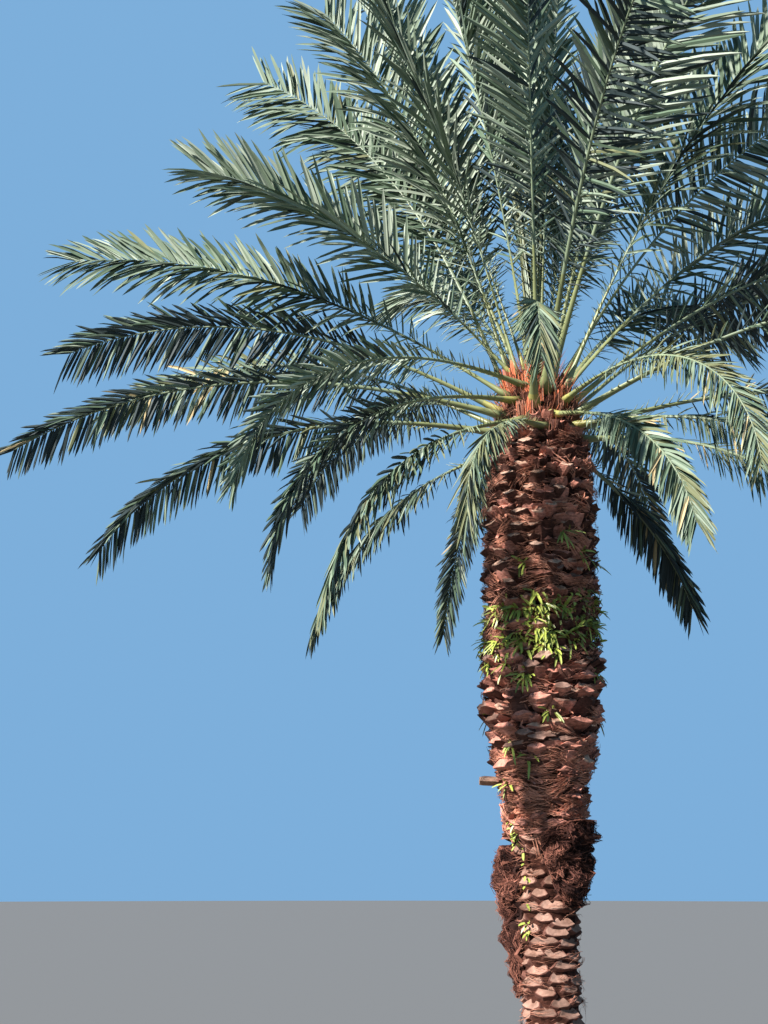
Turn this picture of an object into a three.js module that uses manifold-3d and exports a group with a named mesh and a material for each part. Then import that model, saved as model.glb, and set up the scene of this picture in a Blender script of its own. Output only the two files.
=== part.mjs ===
// Date palm tree: a trunk shagged with old leaf bases under a round crown of feather fronds.
// Millimetres, +Z up. The origin is the middle of the flat cut under the trunk, at ground level.

import * as THREE from "three";
import { mergeVertices } from "three/addons/utils/BufferGeometryUtils.js";
import Module from "manifold-3d";

const wasm = await Module();
wasm.setup();

// Driving dimensions of the trunk

const SEAT_GAP = 0.4; // air between the trunk and what grows on it
const BOOTS_ROUND = 14; // old leaf bases side by side round the trunk
const TRIMMED_ROW = 150; // height of one row on the trimmed lower trunk
const SHAGGY_ROW = 110; // height of one row of old leaf bases
const SHAGGY_FROM = 1960; // where the trimmed trunk ends and the old leaf bases start
const CROWN_FROM = 4500; // where the living leaf bases start
const TRUNK_TOP = 5100;
const TRUNK_BOW = 30; // how far the middle of the trunk leans to the left
const FLARE_ROWS = [0, 60]; // heights of the rows in the root flare
const TRIMMED_FROM = 200; // where the even rows of the trimmed trunk start
const CROWN_ROWS = [4660, 4825, 4920, 5000]; // heights of the rows in the heart of the crown
const TRUNK_RADIUS = [
  [0, 330], [60, 300], [200, 235], [450, 190], [900, 164], [1250, 170], [1880, 190],
  [1960, 220], [2200, 234], [2330, 262], [2550, 308], [2800, 325], [3150, 336],
  [3750, 334], [4050, 332], [4300, 314], [4500, 290], [4825, 230], [5000, 150], [5100, 70],
];
const BOOT_RELIEF = [
  [0, 0], [200, 6], [1900, 8], [2050, 14], [2350, 30], [2700, 38], [3200, 28], [4300, 28], [4500, 0],
];

// Mats of roots and fibre that hang on the trimmed trunk

const ROOT_MATS = [
  { name: "root_mat_left", middle: 172, half: 44, top: 1880, bottom: 1000, thick: 132, thin: 20 },
  { name: "root_mat_right", middle: 320, half: 62, top: 2030, bottom: 1530, thick: 62, thin: 40 },
];
const MAT_COLUMNS = 6;
const MAT_ROWS = 6;
const MAT_DEPTH_INSIDE = 60; // how deep a mat starts inside the trunk before it is cut to it
const MAT_FOOT_SHARE = 0.55; // width of a mat's foot as a share of its top
const MAT_TOP_FALL = 110; // how much lower a mat's top is at its sides
const MAT_EDGE_LIFT = 60; // how much higher a mat's foot ends at its sides
const MAT_BULGE = { from: 0.04, span: 0.46 }; // part of a half wave that a mat's thickness follows
const MAT_CREST = { loss: 0.35, power: 8 }; // share of the thickness lost at a mat's top
const MAT_RAGGED = 0.16; // how much thicker a mat is at every second point

// One old leaf stalk that was cut off long and still stands out

const STUB = {
  height: 2225, heading: 186, width: 110, depth: 64, reach: 405, rise: 3, taper: 0.75, slant: 18,
};

// Driving dimensions of the crown

const FROND_COUNT = 46;
const TURN_PER_FROND = 137.508; // degrees round the trunk from one frond to the next
const LOWEST_BASE = 4550;
const HIGHEST_BASE = 5085;
const BOW_POWER = 1.5; // a frond bends more towards its tip
const RIB_STEPS = 18;
const STALK_SHARE = 0.2; // the part of a frond's length that carries no leaflets
const SPLIT_BOW = 75; // degrees of bend past which a frond is made in two parts
const SPLIT_STEP = 11; // the step along the rib where such a frond parts

// Oldest frond at 0, youngest at 1

const BASE_RADIUS = [[0, 262], [0.5, 205], [0.83, 135], [1, 70]];
const RISE = [[0, 0], [0.3, 28], [0.6, 52], [1, 84]]; // degrees at the base
const BOW = [[0, 70], [0.5, 60], [1, 16]]; // degrees of bend over the whole length
const LENGTH = [[0, 3400], [0.4, 3900], [0.8, 3900], [1, 3300]];
const STALK_WIDTH = [[0, 84], [0.6, 66], [1, 40]];
const FOLD = [[0, -6], [0.4, 12], [1, 34]]; // degrees that the leaflets stand up from flat

// Fronds whose lie is known, by their place in the order: heading, rise, bow, length and twist

const KNOWN_FRONDS = new Map([
  [0, [350, 0, 92, 2450, 50]],
  [1, [137, 0, 62, 2600, -40]],
  [2, [241, -4, 93, 1400, 20]],
  [3, [39, -25, 42, 1600, -30]],
  [4, [194, 7, 64, 2950, 55]],
  [5, [330, -2, 68, 2700, 50]],
  [7, [231, -16, 60, 2400, 30]],
  [8, [10, 18, 60, 3800, -55]],
  [9, [160, 32, 55, 3700, -60]],
  [10, [305, -12, 64, 1800, 35]],
  [12, [190, 14, 48, 3400, 60]],
  [15, [272, 38, 118, 1900, -15]],
  [16, [35, 42, 42, 3800, -50]],
  [17, [184, 30, 52, 3200, 55]],
  [18, [307, 13, 98, 2250, 40]],
  [20, [220, -4, 80, 2500, 35]],
  [22, [155, 70, 36, 4000, -65]],
  [25, [182, 35, 38, 3350, -60]],
  [26, [348, 66, 32, 3800, 60]],
  [28, [214, 11, 88, 2550, 40]],
  [29, [20, 51, 45, 3800, 60]],
  [30, [168, 76, 24, 3600, -60]],
  [33, [198, 47, 38, 2600, -65]],
  [34, [3, 60, 48, 3800, -60]],
  [38, [190, 76, 14, 3700, -50]],
  [40, [115, 82, 10, 3700, -20]],
  [42, [20, 84, 40, 3700, -45]],
  [43, [150, 72, 12, 3800, 45]],
  [45, [88, 84, 8, 3600, 15]],
]);

// Shape of the blade

const TWIST = 42; // degrees that a blade turns about its rib, to the left or right by turns
const TWISTED_BY = 0.5; // share of the length by which a blade has turned
const STALK_DEPTH = 0.55; // stalk's depth as a share of its width
const RIB_WIDTH = [[0, 1.25], [0.06, 0.85], [0.2, 0.5], [0.6, 0.3], [1, 0.13]]; // of the stalk width
const LEAFLET_LENGTH = 480;
const LEAFLET_SIZE = [[0, 0.35], [0.12, 0.6], [0.3, 1], [0.85, 0.98], [1, 0.78]];
const POISE_PER_BOW = 1 / 3; // share of a frond's bend that it has made at its middle
// Leaflet length by a frond's slope in degrees at its middle
const LEAFLET_BY_POISE = [[-15, 0.52], [5, 0.58], [15, 0.72], [25, 0.98], [45, 1.08], [90, 1.12]];
const LEAFLET_LEAN = [[0, 60], [0.3, 50], [0.8, 42], [1, 34]]; // degrees between leaflet and rib
const LEAFLET_EDGE = 6; // thickness at a leaflet's blunt tip
const LEAFLET_SAG = 0.1; // drop of the tip as a share of the leaflet's length
const LEAFLET_HANG = [[0, 0.75], [0.3, 0.5], [0.6, 0.15], [1, 0]]; // pull straight down, by age
const HANG_BOW = 80; // degrees of bend past which leaflets are pulled down more
const HANG_SPAN = 40; // further degrees of bend for a pull of 1
const HANG_EASED = 0.5; // share of the pull that a leaflet that stands upright is spared
const RANK_SPREAD = 18; // degrees by which leaflets stand above and below the blade in turn
const LEAFLET_TRIES = [1, 0.75, 0.5, 0.3]; // lengths tried where a leaflet meets a neighbour
const LEAFLET_AIR = 6; // clear space kept round a leaflet
const CORNERS = 4; // corners of one rib section

// Closed leaves at the very heart of the crown

const SPEARS = [
  { heading: 30, lean: 3, length: 2500 },
  { heading: 160, lean: 5, length: 2050 },
  { heading: 275, lean: 6, length: 1650 },
];
const SPEAR_WIDTH = 58;
const SPEAR_FOOT = 5060;
const SPEAR_STEPS = 5;
const SPEAR_SIDES = 6;
const SPEAR_TAPER = 0.86; // share of its width that a closed leaf loses towards its tip
const SPEAR_TAPER_POWER = 1.6;

const MATERIALS = {
  bark: new THREE.MeshStandardMaterial({ color: 0x6b3d2c, roughness: 0.95, metalness: 0 }),
  roots: new THREE.MeshStandardMaterial({ color: 0x4a2a20, roughness: 1, metalness: 0 }),
  cutWood: new THREE.MeshStandardMaterial({ color: 0xb98e6a, roughness: 0.85, metalness: 0 }),
  frond: new THREE.MeshStandardMaterial({ color: 0x76835c, roughness: 0.6, metalness: 0 }),
  spear: new THREE.MeshStandardMaterial({ color: 0x9aa56c, roughness: 0.6, metalness: 0 }),
};

const WELD_DISTANCE = 1e-3;

const radians = THREE.MathUtils.degToRad;

// Value at x of a list of [x, value] pairs, straight between them
function between(pairs, x) {
  for (let i = 1; i < pairs.length; i += 1) {
    const [x1, y1] = pairs[i];
    const [x0, y0] = pairs[i - 1];
    if (x <= x1) return y0 + (y1 - y0) * Math.max(0, (x - x0) / (x1 - x0));
  }
  return pairs[pairs.length - 1][1];
}

// Direction of a heading round the trunk and a slope above level, both in radians
function wayOf(heading, slope) {
  const level = Math.cos(slope);
  return new THREE.Vector3(level * Math.cos(heading), level * Math.sin(heading), Math.sin(slope));
}

// Solids

function geometryOf(points, faces) {
  const geometry = new THREE.BufferGeometry();
  const places = points.flatMap((point) => [point.x, point.y, point.z]);
  geometry.setAttribute("position", new THREE.Float32BufferAttribute(places, 3));
  geometry.setIndex(faces);
  return geometry;
}

function solidOf(geometry) {
  const bare = geometry.clone();
  bare.deleteAttribute("normal");
  bare.deleteAttribute("uv");
  const welded = mergeVertices(bare, WELD_DISTANCE);
  const mesh = new wasm.Mesh({
    numProp: 3,
    vertProperties: new Float32Array(welded.attributes.position.array),
    triVerts: new Uint32Array(welded.index.array),
  });
  mesh.merge();
  return new wasm.Manifold(mesh);
}

function geometryFromSolid(solid) {
  const mesh = solid.getMesh();
  const geometry = new THREE.BufferGeometry();
  geometry.setAttribute("position", new THREE.BufferAttribute(mesh.vertProperties.slice(), 3));
  geometry.setIndex(new THREE.BufferAttribute(mesh.triVerts.slice(), 1));
  return geometry;
}

// Trunk

function trunkAxis(height) {
  return -TRUNK_BOW * Math.sin(Math.PI * Math.min(1, height / CROWN_FROM));
}

function trunkRows() {
  const rows = [...FLARE_ROWS];
  for (let z = TRIMMED_FROM; z < SHAGGY_FROM - TRIMMED_ROW / 2; z += TRIMMED_ROW) rows.push(z);
  for (let z = SHAGGY_FROM; z < CROWN_FROM; z += SHAGGY_ROW) rows.push(z);
  return [...rows, CROWN_FROM, ...CROWN_ROWS, TRUNK_TOP];
}

// A cylinder whose rows and columns move out and in by turns, as the staggered leaf bases do
function trunkGeometry(swell = 0) {
  const rows = trunkRows();
  const columns = 2 * BOOTS_ROUND;
  const geometry = new THREE.CylinderGeometry(1, 1, 1, columns, rows.length - 1);
  geometry.deleteAttribute("normal");
  geometry.deleteAttribute("uv");
  geometry.rotateX(Math.PI / 2);
  const place = geometry.attributes.position;
  const standsOut = [];
  for (let i = 0; i < place.count; i += 1) {
    const row = Math.round((place.getZ(i) + 0.5) * (rows.length - 1));
    const height = rows[row];
    const angle = Math.atan2(place.getY(i), place.getX(i));
    const column = Math.round((angle / (2 * Math.PI)) * columns) + columns;
    standsOut.push((row + column) % 2 === 0);
    const onAxis = Math.hypot(place.getX(i), place.getY(i)) < 0.5;
    const relief = between(BOOT_RELIEF, height) * (standsOut[i] ? 1 : -1);
    const reach = onAxis ? 0 : between(TRUNK_RADIUS, height) + relief + swell;
    const lift = row === 0 ? -swell : swell * Number(height === TRUNK_TOP);
    const x = trunkAxis(height) + reach * Math.cos(angle);
    place.setXYZ(i, x, reach * Math.sin(angle), height + lift);
  }
  standApart(geometry.index, standsOut, 2 * columns * (rows.length - 1));
  return geometry;
}

// Turns the diagonals of a wall's quads so that each point that stands out is a pyramid of its own
function standApart(index, standsOut, wallFaces) {
  for (let i = 0; i < 3 * wallFaces; i += 6) {
    const [a, b, d, , c] = Array.from({ length: 5 }, (_, k) => index.getX(i + k));
    const corners = standsOut[b] ? [a, b, c, a, c, d] : [a, b, d, b, c, d];
    corners.forEach((corner, k) => index.setX(i + k, corner));
  }
}

const swollenTrunk = solidOf(trunkGeometry(SEAT_GAP));

// Cuts a piece that starts inside the trunk so that it meets the trunk's face
function seatedOnTrunk(geometry) {
  return solidOf(geometry).subtract(swollenTrunk);
}

// A patch of matted roots: thick in its middle and upper part, thin at its edges, narrow at its foot
function rootMatGeometry(mat) {
  const points = [];
  const faces = [];
  const rowLength = MAT_COLUMNS + 1;
  const sheet = rowLength * (MAT_ROWS + 1);
  for (const layer of [0, 1]) {
    for (let row = 0; row <= MAT_ROWS; row += 1) {
      const rise = row / MAT_ROWS;
      for (let column = 0; column <= MAT_COLUMNS; column += 1) {
        const side = (2 * column) / MAT_COLUMNS - 1;
        const ragged = 1 + MAT_RAGGED * ((row + column) % 2);
        const wave = Math.sin(Math.PI * (MAT_BULGE.from + MAT_BULGE.span * rise));
        const crest = 1 - MAT_CREST.loss * rise ** MAT_CREST.power;
        const body = (1 - side * side) * wave * ragged * crest;
        const lift = side * side * (MAT_EDGE_LIFT * (1 - rise) - MAT_TOP_FALL * rise);
        const height = mat.bottom + (mat.top - mat.bottom) * rise + lift;
        const narrow = mat.half * (MAT_FOOT_SHARE + (1 - MAT_FOOT_SHARE) * rise);
        const angle = radians(mat.middle + side * narrow);
        const outside = mat.thin + (mat.thick - mat.thin) * body;
        const radius = between(TRUNK_RADIUS, height) + (layer ? outside : -MAT_DEPTH_INSIDE);
        const x = trunkAxis(height) + radius * Math.cos(angle);
        points.push(new THREE.Vector3(x, radius * Math.sin(angle), height));
      }
    }
  }
  for (let row = 0; row < MAT_ROWS; row += 1) {
    for (let column = 0; column < MAT_COLUMNS; column += 1) {
      const a = row * rowLength + column;
      const b = a + 1;
      const c = b + rowLength;
      const d = a + rowLength;
      faces.push(a, d, c, a, c, b);
      faces.push(sheet + a, sheet + c, sheet + d, sheet + a, sheet + b, sheet + c);
    }
  }
  const rim = [];
  for (let column = 0; column < MAT_COLUMNS; column += 1) rim.push(column);
  for (let row = 0; row < MAT_ROWS; row += 1) rim.push(row * rowLength + MAT_COLUMNS);
  for (let column = MAT_COLUMNS; column > 0; column -= 1) rim.push(MAT_ROWS * rowLength + column);
  for (let row = MAT_ROWS; row > 0; row -= 1) rim.push(row * rowLength);
  rim.forEach((here, i) => {
    const next = rim[(i + 1) % rim.length];
    faces.push(here, next, sheet + next, here, sheet + next, sheet + here);
  });
  return geometryOf(points, faces);
}

function stubGeometry() {
  const outline = new THREE.Shape();
  const half = STUB.width / 2;
  const reach = STUB.reach;
  outline.moveTo(0, -half);
  outline.lineTo(reach, -half * STUB.taper);
  outline.lineTo(reach + STUB.slant, half * STUB.taper);
  outline.lineTo(0, half);
  outline.closePath();
  const geometry = new THREE.ExtrudeGeometry(outline, { depth: STUB.depth, bevelEnabled: false });
  geometry.rotateY(-radians(STUB.rise));
  geometry.rotateZ(radians(STUB.heading));
  geometry.translate(trunkAxis(STUB.height), 0, STUB.height);
  return geometry;
}

// Fronds

function frondPlan(order) {
  const age = order / (FROND_COUNT - 1);
  const slot = (order * TURN_PER_FROND) % 360;
  const turn = order % 2 === 0 ? TWIST : -TWIST;
  const rule = [slot, between(RISE, age), between(BOW, age), between(LENGTH, age), turn];
  const [heading, rise, bow, length, twist] = KNOWN_FRONDS.get(order) ?? rule;
  const height = LOWEST_BASE + (HIGHEST_BASE - LOWEST_BASE) * age;
  const radius = between(BASE_RADIUS, age);
  const base = wayOf(radians(slot), 0).multiplyScalar(radius).setZ(height);
  return {
    name: `frond_${String(order + 1).padStart(2, "0")}`,
    known: KNOWN_FRONDS.has(order),
    base, heading, rise, bow, length, twist,
    hang: Math.max(between(LEAFLET_HANG, age), (bow - HANG_BOW) / HANG_SPAN),
    leaflet: LEAFLET_LENGTH * between(LEAFLET_BY_POISE, rise - bow * POISE_PER_BOW),
    width: between(STALK_WIDTH, age),
    fold: between(FOLD, age),
  };
}

// The rib as sections: a place, its forward, left and upward directions and its size
function ribSections(plan) {
  const heading = radians(plan.heading);
  const level = wayOf(heading + Math.PI / 2, 0);
  const place = plan.base.clone();
  const step = plan.length / RIB_STEPS;
  const sections = [];
  for (let i = 0; i <= RIB_STEPS; i += 1) {
    const share = i / RIB_STEPS;
    const forward = wayOf(heading, radians(plan.rise - plan.bow * share ** BOW_POWER));
    const turn = radians(plan.twist * Math.sin((Math.PI / 2) * Math.min(1, share / TWISTED_BY)));
    const left = level.clone().applyAxisAngle(forward, turn);
    const up = forward.clone().cross(left);
    const half = (plan.width * between(RIB_WIDTH, share)) / 2;
    sections.push({ place: place.clone(), forward, left, up, half, depth: half * 2 * STALK_DEPTH, share });
    const middle = radians(plan.rise - plan.bow * ((i + 0.5) / RIB_STEPS) ** BOW_POWER);
    place.addScaledVector(wayOf(heading, middle), step);
  }
  return sections;
}

// Corners of one rib section: upper left, upper right, lower right and lower left
function sectionCorners(section, swell = 0) {
  const { place, left, up, half, depth } = section;
  const side = half + swell;
  const rise = depth / 2 + swell;
  return [[1, 1], [-1, 1], [-1, -1], [1, -1]].map(([toLeft, toUp]) => (
    place.clone().addScaledVector(left, toLeft * side).addScaledVector(up, toUp * rise)
  ));
}

// Every second leaflet of a side stands above the blade, and the others below it
function rankOf(step, hand) {
  return (step + (hand > 0 ? 0 : 1)) % 2 === 0 ? 1 : -1;
}

// Blunt tip of the leaflet that grows between two sections: its upper and its lower point
function leafletTip(plan, rear, front, hand, rank, scale, air) {
  const share = (rear.share + front.share) / 2;
  const along = (share - STALK_SHARE) / (1 - STALK_SHARE);
  const length = plan.leaflet * between(LEAFLET_SIZE, along) * scale;
  const lean = radians(between(LEAFLET_LEAN, along));
  const stand = radians(plan.fold + rank * RANK_SPREAD);
  const middle = rear.place.clone().add(front.place).multiplyScalar(0.5);
  const sideways = rear.left.clone().multiplyScalar(hand * Math.cos(stand));
  sideways.addScaledVector(rear.up, Math.sin(stand));
  const toTip = rear.forward.clone().multiplyScalar(Math.cos(lean));
  toTip.addScaledVector(sideways, Math.sin(lean));
  toTip.z -= plan.hang * (1 - HANG_EASED * Math.max(0, sideways.z));
  const tip = middle.addScaledVector(toTip.normalize(), length + air);
  tip.z -= LEAFLET_SAG * length;
  const thick = LEAFLET_EDGE / 2 + air;
  return [tip.clone().addScaledVector(rear.up, thick), tip.clone().addScaledVector(rear.up, -thick)];
}

// Faces of a leaflet on the rib's side between corners a, b (upper) and d, c (lower), tips t and u
function leafletFaces(a, b, c, d, t, u, hand) {
  const faces = [a, b, t, d, u, c, a, t, u, a, u, d, b, c, u, b, u, t];
  return hand > 0 ? faces : faces.reverse();
}

function sideCorners(hand) {
  return hand > 0 ? [0, 3] : [1, 2];
}

// A blade runs from one section to another, with a leaflet wherever one has a scale
function bladeGeometry(plan, sections, leaflets, first, last, swell = 0) {
  const points = [];
  const faces = [];
  for (let i = first; i <= last; i += 1) points.push(...sectionCorners(sections[i], swell));
  const scales = new Map(leaflets.map(({ step, hand, scale }) => [`${step}:${hand}`, scale]));
  for (let i = first; i < last; i += 1) {
    const rear = CORNERS * (i - first);
    const front = rear + CORNERS;
    faces.push(rear, rear + 1, front + 1, rear, front + 1, front);
    faces.push(rear + 3, front + 3, front + 2, rear + 3, front + 2, rear + 2);
    for (const hand of [1, -1]) {
      const [upper, lower] = sideCorners(hand);
      const [a, b, c, d] = [rear + upper, front + upper, front + lower, rear + lower];
      const scale = scales.get(`${i}:${hand}`);
      if (scale === undefined) {
        const plain = [a, b, c, a, c, d];
        faces.push(...(hand > 0 ? plain : plain.reverse()));
        continue;
      }
      points.push(...leafletTip(plan, sections[i], sections[i + 1], hand, rankOf(i, hand), scale, 0));
      const tip = points.length - 2;
      faces.push(...leafletFaces(a, b, c, d, tip, tip + 1, hand));
    }
  }
  const end = CORNERS * (last - first);
  faces.push(0, 3, 2, 0, 2, 1, end, end + 1, end + 2, end, end + 2, end + 3);
  return geometryOf(points, faces);
}

// One leaflet alone, fattened by the air that it has to keep round itself
function leafletSolid(plan, sections, step, hand, scale) {
  const rear = sections[step];
  const front = sections[step + 1];
  const [upper, lower] = sideCorners(hand);
  const rearCorners = sectionCorners(rear, LEAFLET_AIR);
  const frontCorners = sectionCorners(front, LEAFLET_AIR);
  const tip = leafletTip(plan, rear, front, hand, rankOf(step, hand), scale, LEAFLET_AIR);
  const rim = [rearCorners[upper], frontCorners[upper], frontCorners[lower], rearCorners[lower]];
  const root = hand > 0 ? [0, 2, 1, 0, 3, 2] : [1, 2, 0, 2, 3, 0];
  return solidOf(geometryOf([...rim, ...tip], [...leafletFaces(0, 1, 2, 3, 4, 5, hand), ...root]));
}

function boxOf(solid) {
  const { min, max } = solid.boundingBox();
  return new THREE.Box3(new THREE.Vector3(...min), new THREE.Vector3(...max));
}

function obstacle(owner, solid) {
  return { owner, solid, box: boxOf(solid) };
}

function isClear(solid, owner, obstacles) {
  const box = boxOf(solid);
  return obstacles.every((other) => {
    if (other.owner === owner || !other.box.intersectsBox(box)) return true;
    const shared = solid.intersect(other.solid);
    const clear = shared.isEmpty();
    shared.delete();
    return clear;
  });
}

// Every leaflet of a frond at the greatest length that keeps clear of what already stands
function clearLeaflets(plan, sections, obstacles) {
  const leaflets = [];
  for (let step = Math.ceil(STALK_SHARE * RIB_STEPS); step < RIB_STEPS; step += 1) {
    for (const hand of [1, -1]) {
      const scale = LEAFLET_TRIES.find((tried) => {
        const solid = leafletSolid(plan, sections, step, hand, tried);
        const clear = isClear(solid, plan.name, obstacles);
        solid.delete();
        return clear;
      });
      if (scale !== undefined) leaflets.push({ step, hand, scale });
    }
  }
  return leaflets;
}

// A strongly bent frond parts at its bend, with the seat's air between the two parts
function frondParts(plan, sections, leaflets) {
  if (plan.bow < SPLIT_BOW) {
    return [[plan.name, seatedOnTrunk(bladeGeometry(plan, sections, leaflets, 0, RIB_STEPS))]];
  }
  const outer = sections.map((section, i) => {
    if (i !== SPLIT_STEP) return section;
    return { ...section, place: section.place.clone().addScaledVector(section.forward, SEAT_GAP) };
  });
  const arch = leaflets.filter(({ step }) => step < SPLIT_STEP);
  const fall = leaflets.filter(({ step }) => step >= SPLIT_STEP);
  return [
    [plan.name, seatedOnTrunk(bladeGeometry(plan, sections, arch, 0, SPLIT_STEP))],
    [`${plan.name}_tip`, solidOf(bladeGeometry(plan, outer, fall, SPLIT_STEP, RIB_STEPS))],
  ];
}

// Closed leaves: slim six-sided blades that lean apart from one foot
function spearGeometry(spear) {
  const points = [];
  const faces = [];
  const forward = wayOf(radians(spear.heading), radians(90 - spear.lean));
  for (let step = 0; step <= SPEAR_STEPS; step += 1) {
    const share = step / SPEAR_STEPS;
    const radius = (SPEAR_WIDTH / 2) * (1 - SPEAR_TAPER * share ** SPEAR_TAPER_POWER);
    const middle = forward.clone().multiplyScalar(spear.length * share);
    for (let side = 0; side < SPEAR_SIDES; side += 1) {
      const angle = (2 * Math.PI * side) / SPEAR_SIDES;
      const x = middle.x + radius * Math.cos(angle);
      const y = middle.y + radius * Math.sin(angle);
      points.push(new THREE.Vector3(x, y, SPEAR_FOOT + middle.z));
    }
  }
  const top = SPEAR_STEPS * SPEAR_SIDES;
  for (let side = 1; side < SPEAR_SIDES - 1; side += 1) {
    faces.push(0, side + 1, side, top, top + side, top + side + 1);
  }
  for (let step = 0; step < SPEAR_STEPS; step += 1) {
    for (let side = 0; side < SPEAR_SIDES; side += 1) {
      const a = step * SPEAR_SIDES + side;
      const b = step * SPEAR_SIDES + ((side + 1) % SPEAR_SIDES);
      faces.push(a, b, b + SPEAR_SIDES, a, b + SPEAR_SIDES, a + SPEAR_SIDES);
    }
  }
  return geometryOf(points, faces);
}

function spearCluster() {
  const blades = SPEARS.map((spear) => solidOf(spearGeometry(spear)));
  return blades.reduce((joined, blade) => joined.add(blade)).subtract(swollenTrunk);
}

// Assembly

const palm = new THREE.Group();

function addPiece(name, geometry, material) {
  const mesh = new THREE.Mesh(geometry, material);
  mesh.name = name;
  palm.add(mesh);
}

addPiece("trunk", trunkGeometry(), MATERIALS.bark);

const obstacles = [obstacle("trunk", swollenTrunk)];
for (const mat of ROOT_MATS) {
  addPiece(mat.name, geometryFromSolid(seatedOnTrunk(rootMatGeometry(mat))), MATERIALS.roots);
}
addPiece("cut_stalk", geometryFromSolid(seatedOnTrunk(stubGeometry())), MATERIALS.cutWood);

const spears = spearCluster();
obstacles.push(obstacle("spear_leaves", spears));
addPiece("spear_leaves", geometryFromSolid(spears), MATERIALS.spear);

const plans = Array.from({ length: FROND_COUNT }, (_, order) => frondPlan(order));
const ribs = new Map(plans.map((plan) => [plan.name, ribSections(plan)]));
for (const plan of plans) {
  const sections = ribs.get(plan.name);
  obstacles.push(obstacle(plan.name, solidOf(bladeGeometry(plan, sections, [], 0, RIB_STEPS, LEAFLET_AIR))));
}

// Fronds whose lie is known keep their leaflets whole, and the others give way to them
const inOrder = [...plans.filter(({ known }) => known), ...plans.filter(({ known }) => !known)];
for (const plan of inOrder) {
  const sections = ribs.get(plan.name);
  const leaflets = clearLeaflets(plan, sections, obstacles);
  for (const [name, solid] of frondParts(plan, sections, leaflets)) {
    obstacles.push(obstacle(plan.name, solid));
    addPiece(name, geometryFromSolid(solid), MATERIALS.frond);
  }
}

export default palm;
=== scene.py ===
"""Date palm: a trunk shagged with old leaf bases under a round crown of feather fronds.

Metres, +Z up. The origin is the middle of the flat cut under the trunk, at ground level.
"""

import math

import bmesh
import bpy
import numpy as np
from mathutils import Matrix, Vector, noise


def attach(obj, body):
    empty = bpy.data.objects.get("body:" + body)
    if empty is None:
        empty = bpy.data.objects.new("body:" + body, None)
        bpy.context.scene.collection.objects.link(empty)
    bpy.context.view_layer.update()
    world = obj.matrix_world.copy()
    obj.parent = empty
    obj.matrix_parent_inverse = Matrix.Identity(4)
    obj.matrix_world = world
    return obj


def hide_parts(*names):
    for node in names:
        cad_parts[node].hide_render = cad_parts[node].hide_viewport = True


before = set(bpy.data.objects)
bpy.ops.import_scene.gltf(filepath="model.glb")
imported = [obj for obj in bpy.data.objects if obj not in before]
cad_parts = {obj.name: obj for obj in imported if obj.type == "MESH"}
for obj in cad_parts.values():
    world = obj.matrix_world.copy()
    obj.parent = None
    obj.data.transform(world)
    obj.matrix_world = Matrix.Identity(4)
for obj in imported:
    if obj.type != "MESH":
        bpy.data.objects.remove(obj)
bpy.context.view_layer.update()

bl_info = {
    "name": "Date palm",
    "version": (1, 0, 0),
    "blender": (4, 5, 0),
    "location": "View3D > Sidebar > Date palm",
    "description": "Builds a date palm with a shaggy trunk and a crown of feather fronds",
    "category": "Add Mesh",
}

BODY = "root"
UP = np.array([0.0, 0.0, 1.0])
FRONT = 270  # heading of the side that faces the camera, in degrees

# Trunk, as the solids have it

TRUNK_TOP = 5.1
CROWN_FROM = 4.5  # where the living leaf bases start
SHAGGY_FROM = 1.96  # where the trimmed trunk ends and the old leaf bases start
TRUNK_BOW = 0.03
TRUNK_RADIUS = [
    (0, 0.33), (0.06, 0.3), (0.2, 0.235), (0.45, 0.19), (0.9, 0.164), (1.25, 0.17), (1.88, 0.19),
    (1.96, 0.22), (2.2, 0.234), (2.33, 0.262), (2.55, 0.308), (2.8, 0.325), (3.15, 0.336),
    (3.75, 0.334), (4.05, 0.332), (4.3, 0.314), (4.5, 0.29), (4.825, 0.23), (5.0, 0.15), (5.1, 0.07),
]
STUB = {"height": 2.257, "heading": 186, "width": 0.11, "depth": 0.064, "reach": 0.405, "rise": 3}

# Mats of roots and fibre on the trimmed trunk. As the solids have them: middle and half width in
# degrees, heights and thickness. Their locks: drift across and up, sag, how far they stand out and
# the shares of their tones.

ROOT_MATS = {
    # The left mat lies in the light: its larger share of the mat's red tone is painted light
    "root_mat_left": {
        "middle": 172, "half": 44, "top": 1.88, "bottom": 1.0, "thick": 0.132, "thin": 0.02,
        "across": 0.3, "along": -0.05, "sag": 0.0, "stand": 0.02, "tones": [0.35, 0.2, 0.45],
    },
    # The right mat lies in shade: its larger share of the dark tone is painted shade
    "root_mat_right": {
        "middle": 320, "half": 62, "top": 2.03, "bottom": 1.53, "thick": 0.062, "thin": 0.04,
        "across": 0.6, "along": 0.02, "sag": 0.12, "stand": 0.05, "tones": [0.36, 0.44, 0.2],
    },
}
MAT_FOOT_SHARE = 0.55
MAT_EDGE_LIFT = 0.06
MAT_TOP_FALL = 0.11
MAT_CREST = (0.35, 8)
MAT_TURN_IN = 0.2
MAT_BULGE = (0.04, 0.46)
LOCK_SIZE = 24
CORE_INSET = 0.018  # how far a mat's lumpy core lies inside its strands

# Crown, as the solids have it

FROND_COUNT = 46
TURN_PER_FROND = 137.508
LOWEST_BASE = 4.55
HIGHEST_BASE = 5.085
BOW_POWER = 1.5
STALK_SHARE = 0.2
SPLIT_BOW = 75
BASE_RADIUS = [(0, 0.262), (0.5, 0.205), (0.83, 0.135), (1, 0.07)]
RISE = [(0, 0), (0.3, 28), (0.6, 52), (1, 84)]
BOW = [(0, 70), (0.5, 60), (1, 16)]
LENGTH = [(0, 3.4), (0.4, 3.9), (0.8, 3.9), (1, 3.3)]
STALK_WIDTH = [(0, 0.084), (0.6, 0.066), (1, 0.04)]
FOLD = [(0, -6), (0.4, 12), (1, 34)]
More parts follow.
